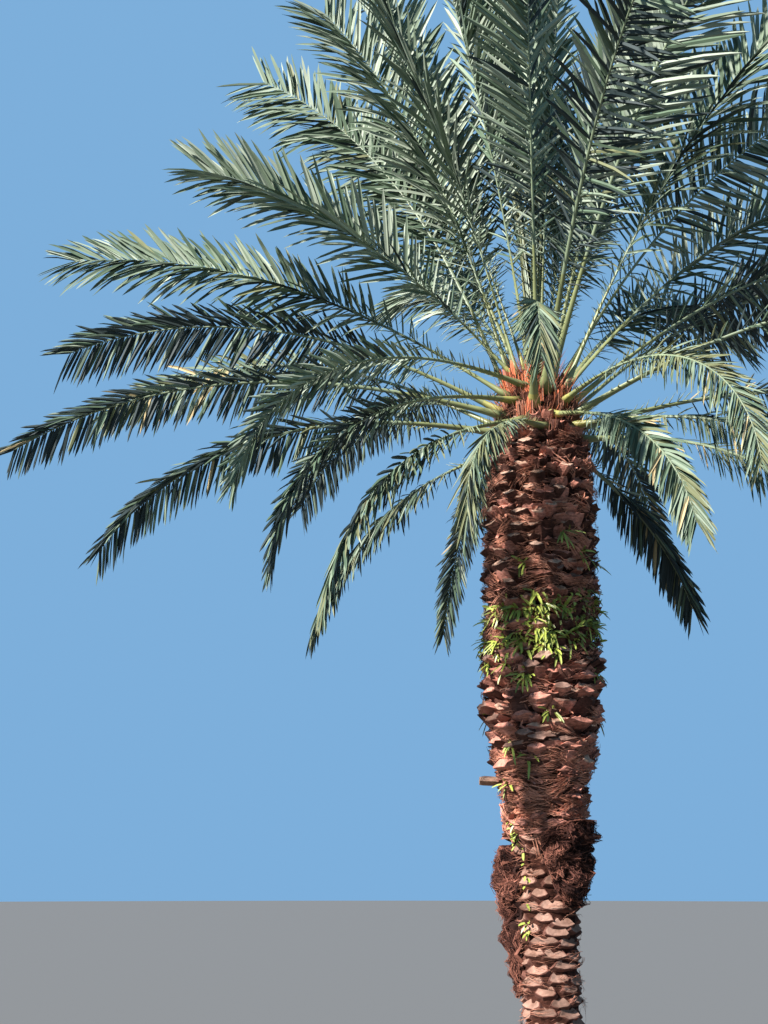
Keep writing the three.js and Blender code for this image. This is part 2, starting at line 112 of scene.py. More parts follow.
# Fronds in plain view, by their order: heading, rise, bow, length and twist
KNOWN_FRONDS = {
    0: (350, 0, 92, 2.45, 50), 1: (137, 0, 62, 2.6, -40), 2: (241, -4, 93, 1.4, 20),
    3: (39, -25, 42, 1.6, -30), 4: (194, 7, 64, 2.95, 55), 5: (330, -2, 68, 2.7, 50),
    7: (231, -16, 60, 2.4, 30), 8: (10, 18, 60, 3.8, -55), 9: (160, 32, 55, 3.7, -60),
    10: (305, -12, 64, 1.8, 35), 12: (190, 14, 48, 3.4, 60), 15: (272, 38, 118, 1.9, -15),
    16: (35, 42, 42, 3.8, -50), 17: (184, 30, 52, 3.2, 55), 18: (307, 13, 98, 2.25, 40),
    20: (220, -4, 80, 2.5, 35), 22: (155, 70, 36, 4.0, -65), 25: (182, 35, 38, 3.35, -60),
    26: (348, 66, 32, 3.8, 60), 28: (214, 11, 88, 2.55, 40), 29: (20, 51, 45, 3.8, 60),
    30: (168, 76, 24, 3.6, -60), 33: (198, 47, 38, 2.6, -65), 34: (3, 60, 48, 3.8, -60),
    38: (190, 76, 14, 3.7, -50), 40: (115, 82, 10, 3.7, -20), 42: (20, 84, 40, 3.7, -45),
    43: (150, 72, 12, 3.8, 45), 45: (88, 84, 8, 3.6, 15),
}
TWIST = 42
TWISTED_BY = 0.5
STALK_DEPTH = 0.55
RIB_WIDTH = [(0, 1.25), (0.06, 0.8), (0.2, 0.44), (0.6, 0.2), (1, 0.08)]  # slimmer than the solids'
LEAFLET_SIZE = [(0, 0.35), (0.12, 0.6), (0.3, 1), (0.85, 0.98), (1, 0.78)]
POISE_PER_BOW = 1 / 3
LEAFLET_BY_POISE = [(-15, 0.52), (5, 0.58), (15, 0.72), (25, 0.98), (45, 1.08), (90, 1.12)]
LEAFLET_LEAN = [(0, 60), (0.3, 50), (0.8, 42), (1, 34)]
LEAFLET_SAG = 0.1
LEAFLET_HANG = [(0, 0.75), (0.3, 0.5), (0.6, 0.15), (1, 0)]
HANG_BOW = 80
HANG_SPAN = 40
HANG_EASED = 0.5
RANK_SPREAD = 18
SPEARS = [
    {"heading": 30, "lean": 3, "length": 2.5},
    {"heading": 160, "lean": 5, "length": 2.05},
    {"heading": 275, "lean": 6, "length": 1.65},
]
SPEAR_FOOT = 5.06
SPEAR_WIDTH = 0.058
SPEAR_TAPER = 0.86  # share of its width that a closed leaf loses towards its tip
SPEAR_TAPER_POWER = 1.6
SPEAR_LEAFLETS = 90  # folded leaflets of a closed leaf
SPEAR_SUNK = 0.04  # how deep its core stands in the heart


# Settings

def colour(code):
    """Linear colour with full alpha of a plain six-digit hex code."""
    shades = [int(code[i:i + 2], 16) / 255 for i in (0, 2, 4)]
    return tuple(s / 12.92 if s <= 0.04045 else ((s + 0.055) / 1.055) ** 2.4 for s in shades) + (1.0,)


def size_property(name, description, default, low=0.0, high=10.0):
    return bpy.props.FloatProperty(
        name=name, description=description, default=default, min=low, max=high,
        subtype="DISTANCE", unit="LENGTH",
    )


def angle_property(name, description, degrees):
    return bpy.props.FloatProperty(
        name=name, description=description, default=math.radians(degrees), subtype="ANGLE", unit="ROTATION",
    )


def count_property(name, description, default, low, high):
    return bpy.props.IntProperty(
        name=name, description=description, default=default, min=low, max=high,
    )


def colour_property(name, description, code):
    return bpy.props.FloatVectorProperty(
        name=name, description=description, default=colour(code), size=4, min=0, max=1, subtype="COLOR",
    )


class PalmTrunkSettings(bpy.types.PropertyGroup):
    """Sizes of the trunk's bark, leaf bases and fibre"""

    bark_columns: count_property("Bark columns", "Points round the bark", 144, 24, 256)
    bases_round: count_property("Bases round", "Old leaf bases side by side round the trunk", 16, 8, 40)
    base_row: size_property("Base row", "Height between rows of old leaf bases", 0.062, 0.03)
    scar_width: size_property("Scar width", "Width of a trimmed leaf scar", 0.16, 0.05)
    scar_row: size_property("Scar row", "Height between rows of trimmed scars", 0.07, 0.03)
    trunk_fibre: count_property("Fibres", "Loose fibres on the shaggy trunk", 6400, 0, 7400)
    matted_fibre: count_property("Matted fibres", "Fibres round the lowest shaggy part", 3600, 0, 7000)
    scar_fibre: count_property("Fibres on scars", "Thin fibres over the trimmed scars", 900, 0, 4000)
    flakes: count_property("Flakes", "Frayed flakes between the old leaf bases", 2000, 0, 8000)
    roots: count_property("Roots", "Root strands over each mat", 2300, 0, 4000)


class PalmCrownSettings(bpy.types.PropertyGroup):
    """Sizes of the fronds and their leaflets"""

    leaflets_a_side: count_property("Leaflets a side", "Leaflets on each side of a frond", 132, 20, 160)
    leaflet_length: size_property("Leaflet length", "Length of the longest leaflets", 0.48, 0.05)
    leaflet_width: size_property("Leaflet width", "Width of the widest leaflets", 0.029, 0.005)
    rib_steps: count_property("Rib steps", "Steps along a frond's rib", 36, 12, 96)
    spines_a_side: count_property("Spines a side", "Spines on each side of a leaf stalk", 9, 0, 30)


class PalmColourSettings(bpy.types.PropertyGroup):
    """Colours of the bark, the leaf stalks and the leaflets"""

    bark: colour_property("Bark", "Fibre between the old leaf bases", "3e241b")
    # Partly painted shade: near-black bark for the hollows between the old leaf bases
    bark_dark_and_shade: colour_property("Dark bark", "Hollows between the old leaf bases", "0f0705")
    base_side: colour_property("Base side", "Sides of the old leaf bases", "c08470")
    base_cut: colour_property("Base cut", "Cut ends of the old leaf bases", "b2927c")
    grey_wood: colour_property("Grey wood", "Weathered ends of the old leaf bases", "84685a")
    scar: colour_property("Scar", "Cut faces on the trimmed trunk", "957564")
    fibre: colour_property("Fibre", "Loose fibres", "c48a70")
    root: colour_property("Root", "Root strands", "5c3a30")
    # Partly painted light: the mat fibre's tone as it looks in the light
    mat: colour_property("Mat", "Fibre of the mat in the light", "946250")
    leaf_pale: colour_property("Pale leaflet", "Waxy grey-green leaflets", "8a9480")
    leaf_mid: colour_property("Grey-green leaflet", "Most leaflets", "6e7c66")
    leaf_deep: colour_property("Deep leaflet", "Dark green leaflets", "4e5f4a")
    leaf_olive: colour_property("Olive leaflet", "Leaflets of the oldest fronds", "686c4c")
    # Painted shade: a dark tint for the leaflets' undersides, standing in for the shade below the fronds
    leaf_under: colour_property("Underside", "Undersides of the leaflets", "2d3836")
    leaf_dry: colour_property("Dry leaflet", "Dead leaflets and tips", "a8966e")
    stalk: colour_property("Stalk", "Leaf stalks", "72784e")
    rib: colour_property("Rib", "Ribs between the leaflets", "727e62")
    stalk_foot: colour_property("Stalk foot", "Yellow foot of a leaf stalk", "8c8a4c")
    sheath: colour_property("Sheath", "Orange sheaths at the heart", "c06c48")
    fern: colour_property("Fern", "Fern leaves that grow on the trunk", "8c9642")


class PalmStageSettings(bpy.types.PropertyGroup):
    """Floor, light and camera"""

    floor_radius: size_property("Floor radius", "Radius of the floor", 90.0, 5.0, 500.0)
    floor: colour_property("Floor", "Floor colour", "60605d")
    backdrop: colour_property("Backdrop", "Colour all round", "90c8fa")
    camera_distance: size_property("Camera distance", "Distance in front of the trunk", 9.3, 1.0, 100.0)
    camera_height: size_property("Camera height", "Height above the ground", 1.7)
    camera_pitch: angle_property("Camera pitch", "Upward tilt", 14.3)
    camera_yaw: angle_property("Camera yaw", "Turn to the left", 6.5)
    camera_lens: bpy.props.FloatProperty(
        name="Lens", description="Focal length in millimetres", default=50.0, min=10, max=200,
    )


# Arithmetic on the driving sizes

def between(pairs, x):
    """Value at x of a list of (x, value) pairs, straight between them."""
    return np.interp(x, *zip(*pairs))


def unit(vectors):
    return vectors / np.maximum(np.linalg.norm(vectors, axis=-1, keepdims=True), 1e-9)


def outward(angle):
    return np.stack([np.cos(angle), np.sin(angle), np.zeros_like(angle)], -1)


def tangent(angle):
    return outward(angle + math.pi / 2)


def leaning(angle, rise):
    """Directions at an angle round the trunk that rise from level, both in radians."""
    rise = np.asarray(rise)[..., None]
    return outward(angle) * np.cos(rise) + UP * np.sin(rise)


def trunk_axis(height):
    return -TRUNK_BOW * np.sin(np.pi * np.minimum(1, height / CROWN_FROM))


def on_trunk(angle, height, out=0.0):
    """Points at an angle in radians and a height, out from the trunk's mean surface."""
    angle, height, out = np.broadcast_arrays(angle, height, out)
    radius = between(TRUNK_RADIUS, height) + out
    return np.stack([trunk_axis(height) + radius * np.cos(angle), radius * np.sin(angle), height], -1)


def rings_round(middle, across, above, side, rise):
    """Rings of corners round middles: side and rise are each corner's steps across and above."""
    middle, across, above = (vectors[..., None, :] for vectors in (middle, across, above))
    return middle + side[..., None] * across + rise[..., None] * above


# Meshes

class Bodies:
    """Many small closed bodies, joined in one mesh. A body is a row of rings of corners.

    The corners of a ring run left, top, right, bottom, seen along the way that its body grows.
    """

    def __init__(self):
        self.points, self.faces, self.slots = [], [], []
        self.count = 0

    def add(self, rings, slots=0):
        """rings: bodies x rings x corners x 3. slots: by body, band and corner, or fewer."""
        bodies, steps, corners = rings.shape[:3]
        numbers = self.count + np.arange(bodies * steps * corners).reshape(bodies, steps, corners)
        rear, front = numbers[:, :-1], numbers[:, 1:]
        walls = np.stack([rear, np.roll(rear, -1, 2), np.roll(front, -1, 2), front], -1)
        band_slots = np.broadcast_to(np.asarray(slots), walls.shape[:3])
        self.points.append(rings.reshape(-1, 3))
        self.faces.append(walls.reshape(-1, 4))
        self.slots.append(band_slots.reshape(-1))
        for end, order in ((0, -1), (-1, 1)):
            ring = numbers[:, end]
            for i in range(1, corners - 1):
                apex, one, two = ring[:, 1], ring[:, (i + 1) % corners], ring[:, (i + 2) % corners]
                self.faces.append(np.stack([apex, one, two][::order], -1))
                self.slots.append(band_slots[:, end, 0])
        self.count += bodies * steps * corners

    def settle(self, name, materials, slot, *nodes, smooth=False):
        """The bodies as one piece of the palm."""
        mesh = bpy.data.meshes.new(name)
        points = np.concatenate(self.points)
        sizes = np.concatenate([np.full(len(faces), faces.shape[1]) for faces in self.faces])
        corners = np.concatenate([faces.reshape(-1) for faces in self.faces])
        mesh.vertices.add(len(points))
        mesh.vertices.foreach_set("co", points.reshape(-1))
        mesh.loops.add(len(corners))
        mesh.polygons.add(len(sizes))
        mesh.polygons.foreach_set("loop_start", np.concatenate([[0], np.cumsum(sizes)[:-1]]))
        mesh.polygons.foreach_set("vertices", corners)
        mesh.polygons.foreach_set("material_index", np.concatenate(self.slots))
        settle(add_object(name, mesh, materials, smooth), slot, *nodes)


def linked(name, data):
    """A new object with this data, in the scene."""
    item = bpy.data.objects.new(name, data)
    bpy.context.scene.collection.objects.link(item)
    return item


def add_object(name, mesh, materials, smooth):
    for material in materials:
        mesh.materials.append(material)
    mesh.polygons.foreach_set("use_smooth", [smooth] * len(mesh.polygons))
    mesh.update(calc_edges=True)
    mesh.validate()
    return linked(name, mesh)


def object_of(name, bm, materials, smooth=True):
    """An object made of a bmesh, which is then freed."""
    mesh = bpy.data.meshes.new(name)
    bmesh.ops.recalc_face_normals(bm, faces=bm.faces)
    bm.to_mesh(mesh)
    bm.free()
    return add_object(name, mesh, materials, smooth)


def settle(piece, slot, *nodes):
    """The piece rides on the palm and stands for the nodes, whose solids are hidden. The slot is not used.
    """
    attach(piece, BODY)
    if nodes:
        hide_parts(*nodes)


# Finishes

WHITE = (1, 1, 1, 1)
RUNNING_UP = (1, 1, 0.45)  # stretch of a grain that runs up the trunk
RUNNING_ROUND = (1, 1, 2.8)  # stretch of a grain that runs round it
THREADS = (1, 1, 2.4)  # stretch of the bark's own threads

# Woody finishes: the colour and its factor, the darkest and lightest shade of it, and where they
# differ from the usual ones the scale of the grain, the height of the bump and the grain's stretch
WOODS = {
    "base_side": ("base_side", 1, 0.3, 1.45, 34, 0.012, RUNNING_ROUND),
    # Near-black copy of the base sides: partly tone that differs by base, partly painted shade of the
    # hollows
    "base_side_dark": ("base_side", 0.2, 0.3, 1.5, 34, 0.012, RUNNING_ROUND),
    "base_cut": ("base_cut", 1, 0.55, 1.25, 40),
    "base_cut_red": ("base_side", 1, 0.5, 1.3, 40),
    "base_cut_grey": ("grey_wood", 1, 0.5, 1.3, 30),
    "base_cut_dark": ("base_side", 0.5, 0.4, 1.3, 30),
    # Dark copy of the base sides for the scars' sides: partly their brown, partly painted shade in the gaps
    # under the scars' rims
    "scar_side": ("base_side", 0.3, 0.4, 1.3),
    "scar_cut": ("scar", 1, 0.6, 1.25, 30, 0.004),
    "scar_cut_tan": ("scar", 0.6, 0.5, 1.25, 24, 0.004),
    "scar_cut_pale": ("scar", 1.25, 0.6, 1.25, 24, 0.004),
    "fibre_red": ("fibre", 1, 0.5, 1.2),
    "fibre_dark": ("fibre", 0.22, 0.5, 1.2),
    "fibre_pale": ("fibre", 1.5, 0.5, 1.2),
    # Root tones: brown, dark (partly painted shade) and red (the mat's lit tone, partly painted light)
    "root_brown": ("root", 1, 0.4, 1.4, 30),
    "root_dark": ("root", 0.3, 0.4, 1.4, 30),
    "root_red": ("mat", 1, 0.5, 1.3, 30),
    "stalk_wood": ("base_cut", 1, 0.4, 1.3, 40),
    "stalk_wood_cut": ("base_cut", 1.2, 0.5, 1.2, 40),
    "sheath_red": ("sheath", 0.5, 0.6, 1.2),
    "sheath_brown": ("fibre", 0.7, 0.5, 1.2),
}

# Leaf finishes: the colour, and where they differ from the usual ones its factor, roughness and shine
LEAVES = {
    "leaflet_pale": ("leaf_pale",),
    "leaflet_grey_green": ("leaf_mid",),
    "leaflet_deep": ("leaf_deep",),
    "leaflet_olive": ("leaf_olive",),
    "leaflet_dry": ("leaf_dry", 1, 0.7, 0.2),
    # Painted shade of the leaflets' undersides
    "leaflet_underside": ("leaf_under", 1, 0.6, 0.25),
    "stalk_foot": ("stalk_foot", 1, 0.5, 0.4),
    "stalk_green": ("stalk", 1, 0.42, 0.45),
    "rib_green": ("rib", 1, 0.45, 0.4),
    "sheath_orange": ("sheath", 1, 0.65, 0.25),
    "fern_green": ("fern", 1, 0.4, 0.4),
    "fern_lime": ("fern", 1.15, 0.4, 0.4),
    # Dark copy of the fern tint: partly a deeper green, partly painted shade on the climbers at the trunk's
    # shaded front right
    "fern_deep": ("fern", 0.55, 0.45, 0.35),
}
PALE, GREY_GREEN, DEEP, OLIVE, DRY, UNDERSIDE_SHADE = range(6)
FOOT_TINT, STALK_TINT, RIB_TINT = range(3)
FERN_GREEN, FERN_LIME, FERN_DEEP_AND_SHADE = range(3)


class Finish:
    """A node material with one Principled shader and short ways to feed it."""

    def __init__(self, name, roughness, specular):
        self.material = bpy.data.materials.new(name)
        self.material.use_nodes = True
        self.tree = self.material.node_tree
        self.shader = next(n for n in self.tree.nodes if n.type == "BSDF_PRINCIPLED")
        self.shader.inputs["Roughness"].default_value = roughness
        self.shader.inputs["Specular IOR Level"].default_value = specular
        self.coordinates = self.tree.nodes.new("ShaderNodeTexCoord").outputs["Object"]

    def node(self, kind, **values):
        """A new node with values for its sockets: outputs of other nodes are linked."""
        node = self.tree.nodes.new(f"ShaderNode{kind}")
        for name, value in values.items():
            if isinstance(value, bpy.types.NodeSocket):
                self.tree.links.new(value, node.inputs[name])
            else:
                node.inputs[name].default_value = value
        return node

    def speckle(self, scale, detail, roughness=0.6, stretch=None):
        place = self.coordinates
        if stretch:
            place = self.node("Mapping", Scale=stretch, Vector=place).outputs["Vector"]
        texture = self.node("TexNoise", Scale=scale, Detail=detail, Roughness=roughness, Vector=place)
        return texture.outputs["Fac"]

    def ramp(self, value, stops):
        """Colour of a value by (position, colour) stops."""
        node = self.node("ValToRGB", Fac=value)
        elements = node.color_ramp.elements
        while len(elements) < len(stops):
            elements.new(1.0)
        for element, (position, tone) in zip(elements, stops):
            element.position = position
            element.color = tone
        return node.outputs["Color"]

    def paint(self, output):
        self.tree.links.new(output, self.shader.inputs["Base Color"])

    def bump(self, height, strength, distance):
        node = self.node("Bump", Strength=strength, Distance=distance, Height=height)
        self.tree.links.new(node.outputs["Normal"], self.shader.inputs["Normal"])

    def grained(self, grain, stops, patch_scale, patch_stops, strength, distance):
        """Paint and raise a grain that is darker in patches."""
        mix = self.tree.nodes.new("ShaderNodeMix")
        mix.data_type = "RGBA"
        mix.blend_type = "MULTIPLY"
        mix.inputs["Factor"].default_value = 1.0
        self.tree.links.new(self.ramp(grain, stops), mix.inputs["A"])
        self.tree.links.new(self.ramp(self.speckle(patch_scale, 3), patch_stops), mix.inputs["B"])
        self.paint(mix.outputs["Result"])
        self.bump(grain, strength, distance)
        return self.material


def shade(tint, factor):
    return tuple(min(1.0, c * factor) for c in tint[:3]) + (1.0,)


def tinted(name, factor):
    return shade(getattr(bpy.context.scene.palm_colours, name), factor)


def bark_finish():
    """Matted fibre: fine dark and red-brown threads that run round the trunk. The darkest are near black,
    partly painted shade of the hollows between the leaf bases.
    """
    finish = Finish("bark_fibre", 0.95, 0.1)
    tones = [(0.47, 1), (0.62, 1.5), (0.8, 2)]
    stops = [(0.3, tinted("bark_dark_and_shade", 1))] + [(at, tinted("bark", factor)) for at, factor in tones]
    patches = [(0.35, (0.5, 0.45, 0.42, 1)), (0.65, WHITE)]
    return finish.grained(finish.speckle(26, 8, 0.7, THREADS), stops, 5, patches, 0.9, 0.02)


def woody_finish(name, tone, factor, low, high, scale=22, bump=0.006, stretch=RUNNING_UP):
    """Dead leaf base or root: patches of lighter and darker wood with a fine grain."""
    finish = Finish(name, 0.88, 0.15)
    tint = tinted(tone, factor)
    stops = [(0.3, shade(tint, low)), (0.5, shade(tint, 0.9)), (0.72, shade(tint, high))]
    patches = [(0.38, (0.55, 0.5, 0.47, 1)), (0.6, WHITE)]
    return finish.grained(finish.speckle(scale, 7, 0.7, stretch), stops, 7, patches, 0.7, bump)


def leaf_finish(name, tone, factor=1, roughness=0.58, specular=0.25):
    """Waxy leaf: a plain tint, a little lighter and darker by place, with fine ribbing."""
    finish = Finish(name, roughness, specular)
    tint = tinted(tone, factor)
    finish.paint(finish.ramp(finish.speckle(3.5, 3), [(0.3, shade(tint, 0.82)), (0.7, shade(tint, 1.15))]))
    finish.bump(finish.speckle(140, 2), 0.25, 0.001)
    return finish.material


def finishes(*starts):
    """The finishes whose names start so, in this order. Each is made when it is first asked for."""
    found = []
    for start in starts:
        for table, make in ((WOODS, woody_finish), (LEAVES, leaf_finish)):
            for name, row in table.items():
                if name.startswith(start):
                    found.append(bpy.data.materials.get(name) or make(name, *row))
    return found


# Trunk

SHAGGY_BY_HEIGHT = [(1.9, 0), (2.0, 1), (4.6, 1), (4.8, 0)]
RIDGES_ROUND = 10
RIDGES_UP = 40


def rough(points, scale, strength, seed):
    """Noise at each point, from -strength to strength."""
    shift = Vector((seed * 7.3, seed * 3.1, seed * 5.7))
    return np.array([noise.fractal(Vector(p) * scale + shift, 0.7, 2.0, 3) for p in points]) * strength


def bark_relief(points, angle):
    """How far the bark stands out between its leaf bases, lumpiest where it is shaggy."""
    height = points[:, 2]
    shaggy = between(SHAGGY_BY_HEIGHT, height)
    up, across = RIDGES_UP * height, RIDGES_ROUND * angle
    ridges = np.sin(across + up) * np.sin(across - up) * (0.004 + 0.008 * shaggy)
    lumps = (rough(points, 9, 1.0, 1) - 0.6) * (0.006 + 0.012 * shaggy)
    return between([(0, 0), (0.05, 1)], height) * ridges + lumps


def sort_faces(bm):
    """Put the faces in the order of their corners: a turned profile has them in another one each run."""
    bm.verts.index_update()
    count = len(bm.verts)

    def place(face):
        numbers = [vertex.index for vertex in face.verts]
        return min(numbers) * count + max(numbers)

    bm.faces.sort(key=place)


class PALM_OT_bark(bpy.types.Operator):
    """Turn the trunk's profile round its axis and roughen it into matted bark"""

    bl_idname = "palm.bark"
    bl_label = "Bark"

    def execute(self, context):
        heights = [0.0, 0.03, *np.arange(0.06, TRUNK_TOP - 0.01, 0.02), TRUNK_TOP]
        bm = bmesh.new()
        line = [bm.verts.new((0, 0, 0))]
        line += [bm.verts.new((between(TRUNK_RADIUS, z), 0, z)) for z in heights]
        line.append(bm.verts.new((0, 0, TRUNK_TOP)))
        edges = [bm.edges.new(pair) for pair in zip(line, line[1:])]
        bmesh.ops.spin(
            bm, geom=line + edges, cent=(0, 0, 0), axis=(0, 0, 1), angle=2 * math.pi,
            steps=context.scene.palm_trunk.bark_columns, use_merge=True,
        )
        bmesh.ops.remove_doubles(bm, verts=bm.verts, dist=1e-5)
        sort_faces(bm)
        points = np.array([v.co for v in bm.verts])
        angle = np.arctan2(points[:, 1], points[:, 0])
        radius = np.hypot(points[:, 0], points[:, 1])
        grown = radius + np.where(radius > 0.02, bark_relief(points, angle), 0)
        x = trunk_axis(points[:, 2]) + grown * np.cos(angle)
        y = grown * np.sin(angle)
        for vertex, place in zip(bm.verts, zip(x, y)):
            vertex.co.xy = place
        settle(object_of("trunk_bark_skin", bm, [bark_finish()]), "trunk_bark", "trunk")
        return {"FINISHED"}


BASE_OUTLINE = np.array([
    (-1, 0), (-0.62, 0.3), (-0.2, 0.62), (0.22, 0.6), (0.64, 0.28),
    (1, 0), (0.6, -0.5), (0.2, -0.78), (-0.22, -0.8), (-0.62, -0.46),
])
SCAR_OUTLINE = np.array([
    (-1, 0.22), (-0.72, 0.45), (-0.25, 0.6), (0.25, 0.6), (0.72, 0.45),
    (1, 0.22), (0.7, -0.3), (0.28, -0.7), (-0.28, -0.7), (-0.7, -0.3),
])
# The rings of a base, from its root outwards: their size, the share of its reach where they stand,
# how far back from there, and how deep they are nicked
BASE_RINGS = np.array([1.3, 1.12, 1.0, 0.86, 0.4])
BASE_FORTH = np.array([0, 0.45, 0.96, 1, 1])
BASE_SUNK = np.array([0.06, 0, 0, 0, 0.004])
BASE_NICKS = np.array([0, 0, 1, 0.6, 0.2])

# Rows of leaf bases: lowest, highest, height of a row, bases in a row, their jitter, the share kept.
# Those of old bases and scars are worked out from the settings.
BROKEN_ROWS = (2.36, 3.02, 0.09, 11, 0.17, 1)
CLUMP_ROWS = (SHAGGY_FROM, 2.44, 0.045, 15, 0.35, 1)
OLD_FROM = SHAGGY_FROM + 0.5
OLD_UP_TO = CROWN_FROM + 0.14
LOWEST_SCAR = 0.045
FEWEST_SCARS = 7  # in a row

# Looks of leaf bases: raggedness and the shares of the finishes of their sides and their cut faces.
# The dark side finish is partly painted shade of the hollows.
OLD = (0.28, [0.36, 0.64], [0.5, 0.34, 0.06, 0.1])
SEEN_OLD = (0.1, [0.1, 0.9], [1.0, 0.0, 0.0, 0.0])
BROKEN = (0.26, [0.72, 0.28], [0.12, 0.48, 0.32, 0.08])
SEEN_BROKEN = (0.14, *BROKEN[1:])
CLUMP = (0.36, [0.5, 0.5], [0.0, 0.2, 0.0, 0.8])
SCAR = (0.1, [1.0], [0.5, 0.32, 0.18])

# Least and greatest width, depth, reach, rise in degrees and uprightness of leaf bases. The width of
# old ones is a share of their spacing, and that of scars, which aren't upright, of the usual width.
OLD_SPANS = [(0.62, 1.1), (0.04, 0.085), (0.018, 0.058), (20, 55), (0.5, 1.1)]
BROKEN_SPANS = [(0.1, 0.19), (0.045, 0.09), (0.05, 0.105), (10, 55), (0, 0.8)]
CLUMP_SPANS = [(0.07, 0.16), (0.035, 0.065), (0.015, 0.06), (-25, 30), (0, 0.5)]
SCAR_SPANS = [(0.6, 1.08), (0.0896, 0.1232), (0.003, 0.009), (22, 32)]

# Cut bases seen high on the trunk: heading, height, width, depth
SEEN_CUTS = [
    (236, 4.22, 0.11, 0.105), (250, 3.95, 0.11, 0.09), (250, 3.86, 0.11, 0.0825),
    (202, 3.74, 0.1, 0.105), (267, 3.72, 0.1, 0.0825), (215, 3.9, 0.1, 0.105), (256, 4.43, 0.1, 0.105),
    (269, 4.2, 0.09, 0.09), (281, 3.98, 0.09, 0.0975), (290, 4.1, 0.09, 0.09), (299, 4.26, 0.09, 0.09),
    (245, 3.79, 0.09, 0.075), (228, 3.62, 0.1, 0.09), (240, 4.08, 0.09, 0.09), (284, 3.6, 0.09, 0.09),
]
SEEN_CUT_SHAPE = (0.07, 28, 1.0)  # their reach, rise in degrees and how upright they are

# Broken bases seen from the front: heading, height, width, depth, reach, rise in degrees, how upright
SEEN_BASES = [
    (241, 2.69, 0.12, 0.05, 0.15, 68, 0.0), (288, 2.8, 0.115, 0.07, 0.1, 24, 0.3),
    (316, 2.78, 0.13, 0.06, 0.1, 26, 0.2), (309, 2.6, 0.2, 0.06, 0.1, 20, 0.1),
    (327, 2.49, 0.13, 0.05, 0.1, 30, 0.0), (252, 2.52, 0.13, 0.08, 0.09, 26, 0.6),
    (264, 2.44, 0.11, 0.07, 0.09, 22, 0.6), (261, 2.93, 0.11, 0.1, 0.1, 30, 0.3),
    (237, 3.03, 0.12, 0.08, 0.09, 36, 0.2), (196, 3.02, 0.13, 0.06, 0.1, 40, 0.1),
    (348, 2.95, 0.13, 0.06, 0.1, 34, 0.1), (342, 2.84, 0.12, 0.05, 0.1, 24, 0.1),
    (270, 3.2, 0.11, 0.08, 0.08, 30, 0.6), (244, 3.22, 0.1, 0.07, 0.08, 30, 0.6),
]


def leaf_bases(bodies, look, angle, height, measures, rng, outline=BASE_OUTLINE):
    """Cut leaf bases: lens-shaped stubs that come out of the trunk, rise and end in a cut face.

    measures: width, depth, reach, rise in degrees and uprightness of every base. Its cut face stands
    square to the base where this is 0, and upright where it is 1.
    """
    width, depth, reach, rise, upright = measures
    ragged, sides, cuts = look
    count = len(angle)
    rise = np.radians(rise)
    across, along = tangent(angle), leaning(angle, rise)
    above = np.cross(along, -across)
    starts = reach[:, None] * BASE_FORTH - BASE_SUNK
    shape = (count, 1, len(outline))
    uneven = BASE_RINGS[:, None] * (1 + rng.uniform(-ragged, ragged, shape))
    nicks = rng.uniform(-1, 1, shape) * ragged * 0.06 * BASE_NICKS[:, None]
    side = outline[:, 0] * uneven * (width / 2)[:, None, None]
    lift = outline[:, 1] * uneven * (depth / 2)[:, None, None]
    tilt = rng.normal(0, 0.6 * ragged, count)[:, None, None]
    side, lift = side * np.cos(tilt) - lift * np.sin(tilt), side * np.sin(tilt) + lift * np.cos(tilt)
    cut = np.clip(starts / reach[:, None], 0, 1)[:, :, None]
    forth = starts[:, :, None] + cut * (np.tan(rise) * upright)[:, None, None] * lift + nicks
    rings = rings_round(on_trunk(angle, height)[:, None], -across[:, None], above[:, None], side, lift)
    rings += forth[..., None] * along[:, None, None]
    rings[..., 2] = np.maximum(rings[..., 2], 0)
    side_slot = rng.choice(len(sides), count, p=sides)
    cut_slot = len(sides) + rng.choice(len(cuts), count, p=cuts)
    bodies.add(rings, np.stack([side_slot, side_slot, cut_slot, cut_slot], 1)[:, :, None])


def drawn_measures(spans, count, rng, usual_width=1.0):
    """Width, depth, reach, rise and uprightness of every base, drawn from spans."""
    width, depth, reach, rise, *upright = [rng.uniform(*span, count) for span in spans]
    return [width * usual_width, depth, reach, rise, *(upright or [np.zeros(count)])]


def staggered(low, high, row, in_row, jitter, share_kept, rng):
    """Angles and heights of places in rows round the trunk, each row half a step on from the last.

    in_row: places in a row, as a number or a function of the row's height.
    """
    angles, heights = [], []
    for number, height in enumerate(np.arange(low, high, row)):
        count = in_row(height) if callable(in_row) else in_row
        step = 2 * math.pi / count
        angles.append((np.arange(count) + 0.5 * (number % 2)) * step + rng.normal(0, jitter * step, count))
        heights.append(height + rng.normal(0, jitter * 0.12, count))
    places = np.stack([np.concatenate(angles), np.concatenate(heights)])
    return places if share_kept == 1 else places[:, rng.random(places.shape[1]) < share_kept]


class PALM_OT_leaf_bases(bpy.types.Operator):
    """Cover the upper trunk with staggered rows of old leaf bases"""

    bl_idname = "palm.leaf_bases"
    bl_label = "Old leaf bases"

    def execute(self, context):
        rng = np.random.default_rng(11)
        sizes = context.scene.palm_trunk
        angle, height = staggered(OLD_FROM, OLD_UP_TO, sizes.base_row, sizes.bases_round, 0.1, 0.92, rng)
        spacing = 2 * math.pi * between(TRUNK_RADIUS, height) / sizes.bases_round
        bodies = Bodies()
        leaf_bases(bodies, OLD, angle, height, drawn_measures(OLD_SPANS, len(angle), rng, spacing), rng)
        heading, height, width, depth = np.array(SEEN_CUTS).T
        shape = [np.full(len(width), value) for value in SEEN_CUT_SHAPE]
        leaf_bases(bodies, SEEN_OLD, np.radians(heading), height, [width, depth, *shape], rng)
        bodies.settle("old_leaf_bases", finishes("base_"), "trunk_bark", "trunk")
        return {"FINISHED"}


